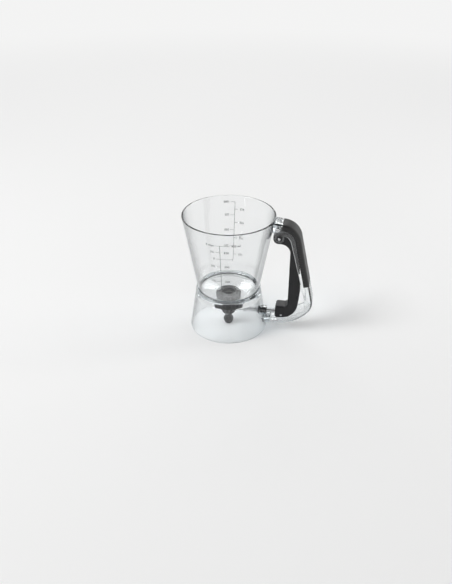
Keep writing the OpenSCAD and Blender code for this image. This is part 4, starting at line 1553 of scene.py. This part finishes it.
    def pad_section(self, cheek_y: float) -> np.ndarray:
        """The pad's whole section as rows of (depth, y).

        Args:
            cheek_y: Place of its outer cheek on the Y axis.

        Returns:
            The closed loop.
        """
        proud, wrap, edge = self.pad_proud, self.pad_wrap, self.edge_r + self.pad_proud
        turn = np.linspace(0, np.pi / 2, 10)
        outside = [[-proud, 0.0], [-proud, (cheek_y - edge) * 0.5]]
        outside += [[-proud + edge * (1 - math.cos(t)), cheek_y - edge + edge * math.sin(t)] for t in turn]
        outside += [[depth, cheek_y] for depth in np.linspace(edge, wrap - self.pad_edge, 8)[1:]]
        outside += [[wrap - self.pad_edge_high, cheek_y - self.pad_edge_in], [wrap, cheek_y - self.pad_edge]]
        thick, side = self.pad_t, self.width / 2 - self.pad_side
        inside = [[wrap, side + self.pad_edge_in], [wrap - self.pad_edge_in, side]]
        inside += self.pad_inner_edge(thick, side)
        inside += [[thick, (side - self.edge_r + self.pad_side) * 0.5], [thick, 0.0]]
        upper = np.array(outside + inside)
        return np.vstack([upper, (upper * [1, -1])[-2:0:-1]])

    def build(self) -> None:
        """Makes the channel and the grip pad, and dresses their fasteners and the pivot."""
        channel = self.channel().to_object("clear_handle", self.sharp_deg)
        # Mask of the painted highlight on the lips.
        self.mask_painted_lip_glow(channel)
        carve(channel, [self.recess()], "DIFFERENCE", self.sharp_deg)
        place(channel, HANDLE_CLEAR, Body.CUP, "handle_frame")
        pad = self.pad().to_object("grip_cover", self.pad_sharp_deg)
        place(pad, GRIP_RUBBER, Body.CUP, "grip_pad")
        dress("handle_screws", STEEL_Y)
        dress("pivot_pin", STEEL_Y)
        dress("pivot_clips", STEEL_BLACKENED)


# --------------------------------------------------------------------------------------------------
# Trigger
# --------------------------------------------------------------------------------------------------


@dataclass
class Trigger:
    """The dark C-shaped trigger: ribbed hollow back, hub at the top and a fork at the foot."""

    pivot: Place = PIVOT
    width: float = 21.0
    edge_r: float = 2.5
    wall: float = 3.0
    depth: float = 17.0
    finger_x: float = 89.81
    finger_top_r: float = 14.0
    finger_low_r: float = 6.0
    foot_x: float = 71.51
    foot_low_z: float = 22.5
    foot_top_z: float = 42.5
    toe_r: float = 3.5
    heel_in: float = 5.0
    heel_r: float = 26.0
    back_up: float = 22.0
    back_r: float = 60.0
    shoulder_in: float = 7.6
    shoulder_r: float = 22.0
    hub_r: float = 7.8
    head_down: float = 11.0
    head_front: float = 9.0
    boss_r: float = 4.8
    boss_half: float = 11.2
    boss_edge: float = 0.3
    boss_points: int = 64
    cells: int = 4
    cell_floor: float = 1.0
    cell_above: float = 4.0
    cell_past: float = 9.0
    cell_side: float = 0.3
    cell_round: float = 1.5
    cell_edge: float = 0.8
    rib_t: float = 1.6
    fork_half: float = 3.8
    fork_top_z: float = 34.6
    fork_end_x: float = 90.01
    fork_round: float = 2.0
    fork_past: float = 3.0
    chord: float = 2.0
    sharp_deg: float = 40.0

    def outline(self) -> np.ndarray:
        """The trigger's outline: foot, back, hub and finger face."""
        back_x = self.finger_x + self.depth
        hub_x, hub_z = self.pivot
        corners = [
            (self.foot_x, self.foot_low_z, self.toe_r),
            (back_x - self.heel_in, self.foot_low_z, self.heel_r),
            (back_x, self.foot_top_z + self.back_up, self.back_r),
            (back_x - self.shoulder_in, hub_z + self.hub_r, self.shoulder_r),
            (hub_x - self.head_front, hub_z + self.hub_r, self.hub_r),
            (hub_x - self.head_front, hub_z - self.head_down, self.hub_r),
            (self.finger_x, hub_z - self.head_down, self.finger_top_r),
            (self.finger_x, self.foot_top_z, self.finger_low_r),
            (self.foot_x, self.foot_top_z, self.toe_r),
        ]
        return densify(rounded(corners, steps=16), self.chord)

    def hollows(self) -> list[Surface]:
        """The cells in the trigger's back, with ribs between them."""
        low = self.foot_top_z + self.wall + self.cell_floor
        high = self.pivot[1] - self.head_down + self.cell_above
        front, back = self.finger_x + self.wall, self.finger_x + self.depth + self.cell_past
        pitch = (high - low) / self.cells
        half = self.width / 2 - self.wall + self.cell_side
        round_r, cells = self.cell_round, []
        for number in range(self.cells):
            z0 = low + number * pitch + (self.rib_t / 2 if number else 0)
            z1 = low + (number + 1) * pitch - (self.rib_t / 2 if number < self.cells - 1 else 0)
            corners = [(front, z0, round_r), (back, z0, 0), (back, z1, 0), (front, z1, round_r)]
            cells.append(slab(rounded(corners, steps=5), 2 * half, self.cell_edge, steps=3))
        return cells

    def fork(self) -> Surface:
        """The slot for the rod's eye, open below and in front."""
        front, low = self.foot_x - self.fork_past, self.foot_low_z - self.fork_past
        corners = [
            (front, low, 0),
            (self.fork_end_x, low, 0),
            (self.fork_end_x, self.fork_top_z, self.fork_round),
            (front, self.fork_top_z, 0),
        ]
        return slab(rounded(corners, steps=5), 2 * self.fork_half, SLIVER, steps=1)

    def boss(self) -> Surface:
        """The round boss that the pivot pin passes through."""
        x, z = self.pivot
        half, radius, edge = self.boss_half, self.boss_r, self.boss_edge
        profile = [[radius - edge, 0], [radius, edge], [radius, 2 * half - edge], [radius - edge, 2 * half]]
        return bar((x, -half, z), (x, half, z), np.array(profile), self.boss_points)

    def build(self) -> None:
        """Makes the trigger and dresses its link pin."""
        trigger = slab(self.outline(), self.width, self.edge_r, steps=6).to_object("trigger_body")
        carve(trigger, [self.boss()], "UNION")
        carve(trigger, [*self.hollows(), self.fork()], "DIFFERENCE", self.sharp_deg)
        place(trigger, TRIGGER_DARK, Body.TRIGGER, "trigger_lever")
        dress("link_pin", STEEL_Y)


# --------------------------------------------------------------------------------------------------
# Valve, rod and nozzle
# --------------------------------------------------------------------------------------------------


@dataclass
class Valve:
    """The sliding-gate valve under the cup, its pull rod with the return spring, and the drip nozzle."""

    cup: Cup
    ring_r: float = 19.0
    ring_taper: float = 1.5
    ring_low_z: float = 43.0
    ring_low_round: float = 1.0
    ring_top_z: float = 54.5
    ring_top_round: float = 1.2
    ring_lip_r: float = 13.2
    ring_lip_round: float = 0.3
    ring_mouth_round: float = 0.4
    ring_step: float = 1.2
    ring_sharp_deg: float = 50.0
    flange_r: float = 15.8
    flange_z: float = 45.0
    gasket_z: float = 48.4
    gasket_play: float = 0.3
    flutes: int = 16
    flute_r: float = 2.0
    flute_out: float = 0.7
    flute_points: int = 24
    rod_z: float = ROD_Z
    spring_x0: float = 25.12
    spring_x1: float = 45.26
    spring_r: float = 4.1
    wire_r: float = 0.4
    spring_turns: int = 7
    stroke: float = 11.6
    mouth_z: float = 1.0
    mouth_bore_r: float = 3.4
    mouth_round: float = 0.4
    mouth_t: float = 1.9
    mouth_edge: float = 0.8
    bulb_r: float = 8.2
    bulb_z: float = 8.0
    bulb_round: float = 5.5
    waist_r: float = 4.6
    waist_z: float = 14.0
    waist_round: float = 3.0
    taper_z: float = 15.0
    sleeve_r: float = 8.2
    sleeve_low_r: float = 7.8
    sleeve_low_round: float = 0.5
    sleeve_low_z: float = 20.5
    sleeve_top_z: float = 23.5
    sleeve_top_round: float = 0.3
    spigot_r: float = 5.93
    bore_r: float = 4.8
    nozzle_step: float = 0.8
    nozzle_points: int = 128
    nozzle_sharp_deg: float = 60.0

    def lock_ring(self) -> Surface:
        """The ring with grip flutes.

        A flute is a cylinder of radius f standing c out from the axis, so at the angle a from its middle the
        ring's radius is at most c cos a - sqrt(f^2 - (c sin a)^2).
        """
        neck_r, flange_r = self.cup.neck_r + SEAT_GAP, self.flange_r + SEAT_GAP
        step_z = self.gasket_z + self.gasket_play
        corners = [
            (self.ring_lip_r, self.ring_low_z, self.ring_lip_round),
            (self.ring_r - self.ring_taper, self.ring_low_z, self.ring_low_round),
            (self.ring_r, self.ring_top_z, self.ring_top_round),
            (neck_r, self.ring_top_z, self.ring_mouth_round),
            (neck_r, step_z, 0),
            (flange_r, step_z, 0),
            (flange_r, self.flange_z, 0),
            (self.ring_lip_r, self.flange_z, 0),
        ]
        ring = lathe(densify(rounded(corners, steps=6), self.ring_step), self.flutes * self.flute_points)
        radius = np.hypot(ring.points[:, 0], ring.points[:, 1])
        angle = np.arctan2(ring.points[:, 1], ring.points[:, 0])
        pitch = 2 * np.pi / self.flutes
        off = (angle + pitch / 2) % pitch - pitch / 2
        centre = self.ring_r + self.flute_out
        inside = self.flute_r**2 - (centre * np.sin(off)) ** 2
        limit = np.where(inside > 0, centre * np.cos(off) - np.sqrt(np.maximum(inside, 0)), np.inf)
        scale = np.minimum(radius, limit) / radius
        return Surface(ring.points * np.stack([scale, scale, np.ones_like(scale)], axis=1), ring.quads)

    def nozzle(self) -> Surface:
        """The drip nozzle: sleeve, waist, bulb and mouth."""
        corners = [
            (self.mouth_bore_r, self.mouth_z, self.mouth_round),
            (self.mouth_bore_r + self.mouth_t, self.mouth_z, self.mouth_edge),
            (self.bulb_r, self.bulb_z, self.bulb_round),
            (self.waist_r, self.waist_z, self.waist_round),
            (self.sleeve_low_r, self.sleeve_low_z, self.sleeve_low_round),
            (self.sleeve_r, self.sleeve_low_z + SLIVER, 0),
            (self.sleeve_r, self.sleeve_top_z, self.sleeve_top_round),
            (self.spigot_r, self.sleeve_top_z, 0),
            (self.spigot_r, self.sleeve_low_z, 0),
            (self.bore_r, self.sleeve_low_z, 0),
            (self.mouth_bore_r, self.taper_z, 0),
        ]
        return lathe(densify(rounded(corners, steps=12), self.nozzle_step), self.nozzle_points)

    def build(self) -> None:
        """Makes the ring, the nozzle and the spring, and dresses the rest."""
        ring = self.lock_ring().to_object("fluted_ring", self.ring_sharp_deg)
        place(ring, VALVE_DARK, Body.CUP, "lock_ring")
        nozzle = self.nozzle().to_object("drip_nozzle", self.nozzle_sharp_deg)
        place(nozzle, NOZZLE_SILICONE, Body.CUP, "nozzle_tip")
        wire = coil(self.spring_x0, self.spring_x1, self.rod_z, self.spring_r, self.wire_r, self.spring_turns)
        spring = wire.to_object("spring_coil")
        place(spring, STEEL_WIRE, Body.CUP, "return_spring")
        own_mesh(spring)
        for node in ("valve_body", "valve_base", "nozzle_collar", "rod_bushing"):
            dress(node, VALVE_DARK)
        for node in ("neck_gasket", "gate_seals"):
            dress(node, SEAL_SILICONE)
        for node in ("pull_rod", "gate_blade", "rod_collar"):
            dress(node, STEEL_X)
        for node in ("gate_rivet", "valve_screws"):
            dress(node, STEEL_Z)


# --------------------------------------------------------------------------------------------------
# Studio
# --------------------------------------------------------------------------------------------------


@dataclass
class Lamp:
    """A soft area lamp, in metres."""

    name: str
    where: tuple[float, float, float]
    size: tuple[float, float]
    power: float
    aim: tuple[float, float, float] = (0.02, 0.0, 0.09)

    def build(self) -> None:
        """Hangs the lamp and turns it to its aim."""
        light = bpy.data.lights.new(self.name, "AREA")
        light.shape = "RECTANGLE"
        light.size, light.size_y = self.size
        light.energy = self.power
        made = bpy.data.objects.new(self.name, light)
        bpy.context.scene.collection.objects.link(made)
        made.location = self.where
        made.rotation_euler = (Vector(self.aim) - Vector(self.where)).to_track_quat("-Z", "Y").to_euler()


@dataclass
class Studio:
    """Camera, floor, lamps and world, in metres and degrees."""

    camera_at: tuple[float, float, float] = (0.146, -0.851, 0.587)
    look_down: float = 31.7
    turned: float = 10.0
    lens: float = 41.5
    clip: tuple[float, float] = (0.01, 60.0)
    floor_half: float = 9.0
    world_light: float = 0.44
    horizon: float = 1.0
    overhead: float = 0.1
    falls_from: float = 0.25
    falls_to: float = 0.6

    def build(self) -> None:
        """Sets up everything round the object."""
        bpy.context.scene.view_settings.view_transform = "Standard"
        self.camera()
        self.floor()
        self.world()
        for lamp in (
            Lamp("key_softbox", (-1.2, -0.7, 1.7), (0.8, 0.8), 23.0),
            Lamp("side_strip", (1.3, 0.5, 0.9), (0.3, 1.2), 6.5),
            Lamp("back_strip", (-0.4, 1.7, 1.3), (1.6, 0.4), 7.5),
        ):
            lamp.build()

    def camera(self) -> None:
        """Puts up the camera, level from side to side."""
        lens = bpy.data.cameras.new("camera")
        lens.lens = self.lens
        lens.clip_start, lens.clip_end = self.clip
        made = bpy.data.objects.new("camera", lens)
        bpy.context.scene.collection.objects.link(made)
        made.location = self.camera_at
        made.rotation_euler = (math.radians(90 - self.look_down), 0, math.radians(self.turned))
        bpy.context.scene.camera = made

    def floor(self) -> None:
        """Lays the floor as one square."""
        half = self.floor_half
        corners = [(-half, -half, 0), (half, -half, 0), (half, half, 0), (-half, half, 0)]
        mesh = bpy.data.meshes.new("floor")
        mesh.from_pydata(corners, [], [(0, 1, 2, 3)])
        mesh.materials.append(StudioFloor("pale_floor").material())
        made = bpy.data.objects.new("floor", mesh)
        bpy.context.scene.collection.objects.link(made)

    def world(self) -> None:
        """Makes the light from all round.

        Matt surfaces get even grey light and the camera sees the plain backdrop. Gloss and clear plastic see
        white that falls off upwards.
        """
        world = bpy.data.worlds.new("studio")
        bpy.context.scene.world = world
        graph = Graph(world)
        direction = graph.add("TexCoord").outputs["Generated"]
        height = graph.add("SeparateXYZ", {0: direction}).outputs["Z"]
        heights = {0: height, "From Min": self.falls_from, "From Max": self.falls_to}
        levels = {"To Min": self.horizon, "To Max": self.overhead}
        fall = graph.add("MapRange", heights | levels).outputs[0]
        path = graph.add("LightPath").outputs
        clear = {0: path["Is Glossy Ray"], 1: path["Is Transmission Ray"]}
        either = graph.add("Math", clear, operation="MAXIMUM").outputs[0]
        lit = graph.add("Background", {"Color": (1, 1, 1, 1), "Strength": self.world_light}).outputs[0]
        shone = graph.add("Background", {"Color": (1, 1, 1, 1), "Strength": fall}).outputs[0]
        plain = graph.add("Background", {"Color": (*BACKDROP, 1), "Strength": 1.0}).outputs[0]
        mixed = graph.add("MixShader", {0: either, 1: lit, 2: shone}).outputs[0]
        mixed = graph.add("MixShader", {0: path["Is Camera Ray"], 1: mixed, 2: plain}).outputs[0]
        graph.add("OutputWorld", {"Surface": mixed})


def main() -> None:
    """Builds the studio and every sub-assembly in order."""
    logging.basicConfig(level=logging.INFO, format="%(name)s: %(message)s")
    Studio().build()
    cup = Cup()
    stand = Stand(cup)
    handle = Handle(cup, stand)
    cup.build(handle.top_tongue())
    stand.build(handle.foot_tongue())
    handle.build()
    Trigger().build()
    Valve(cup).build()


if __name__ == "__main__":
    main()
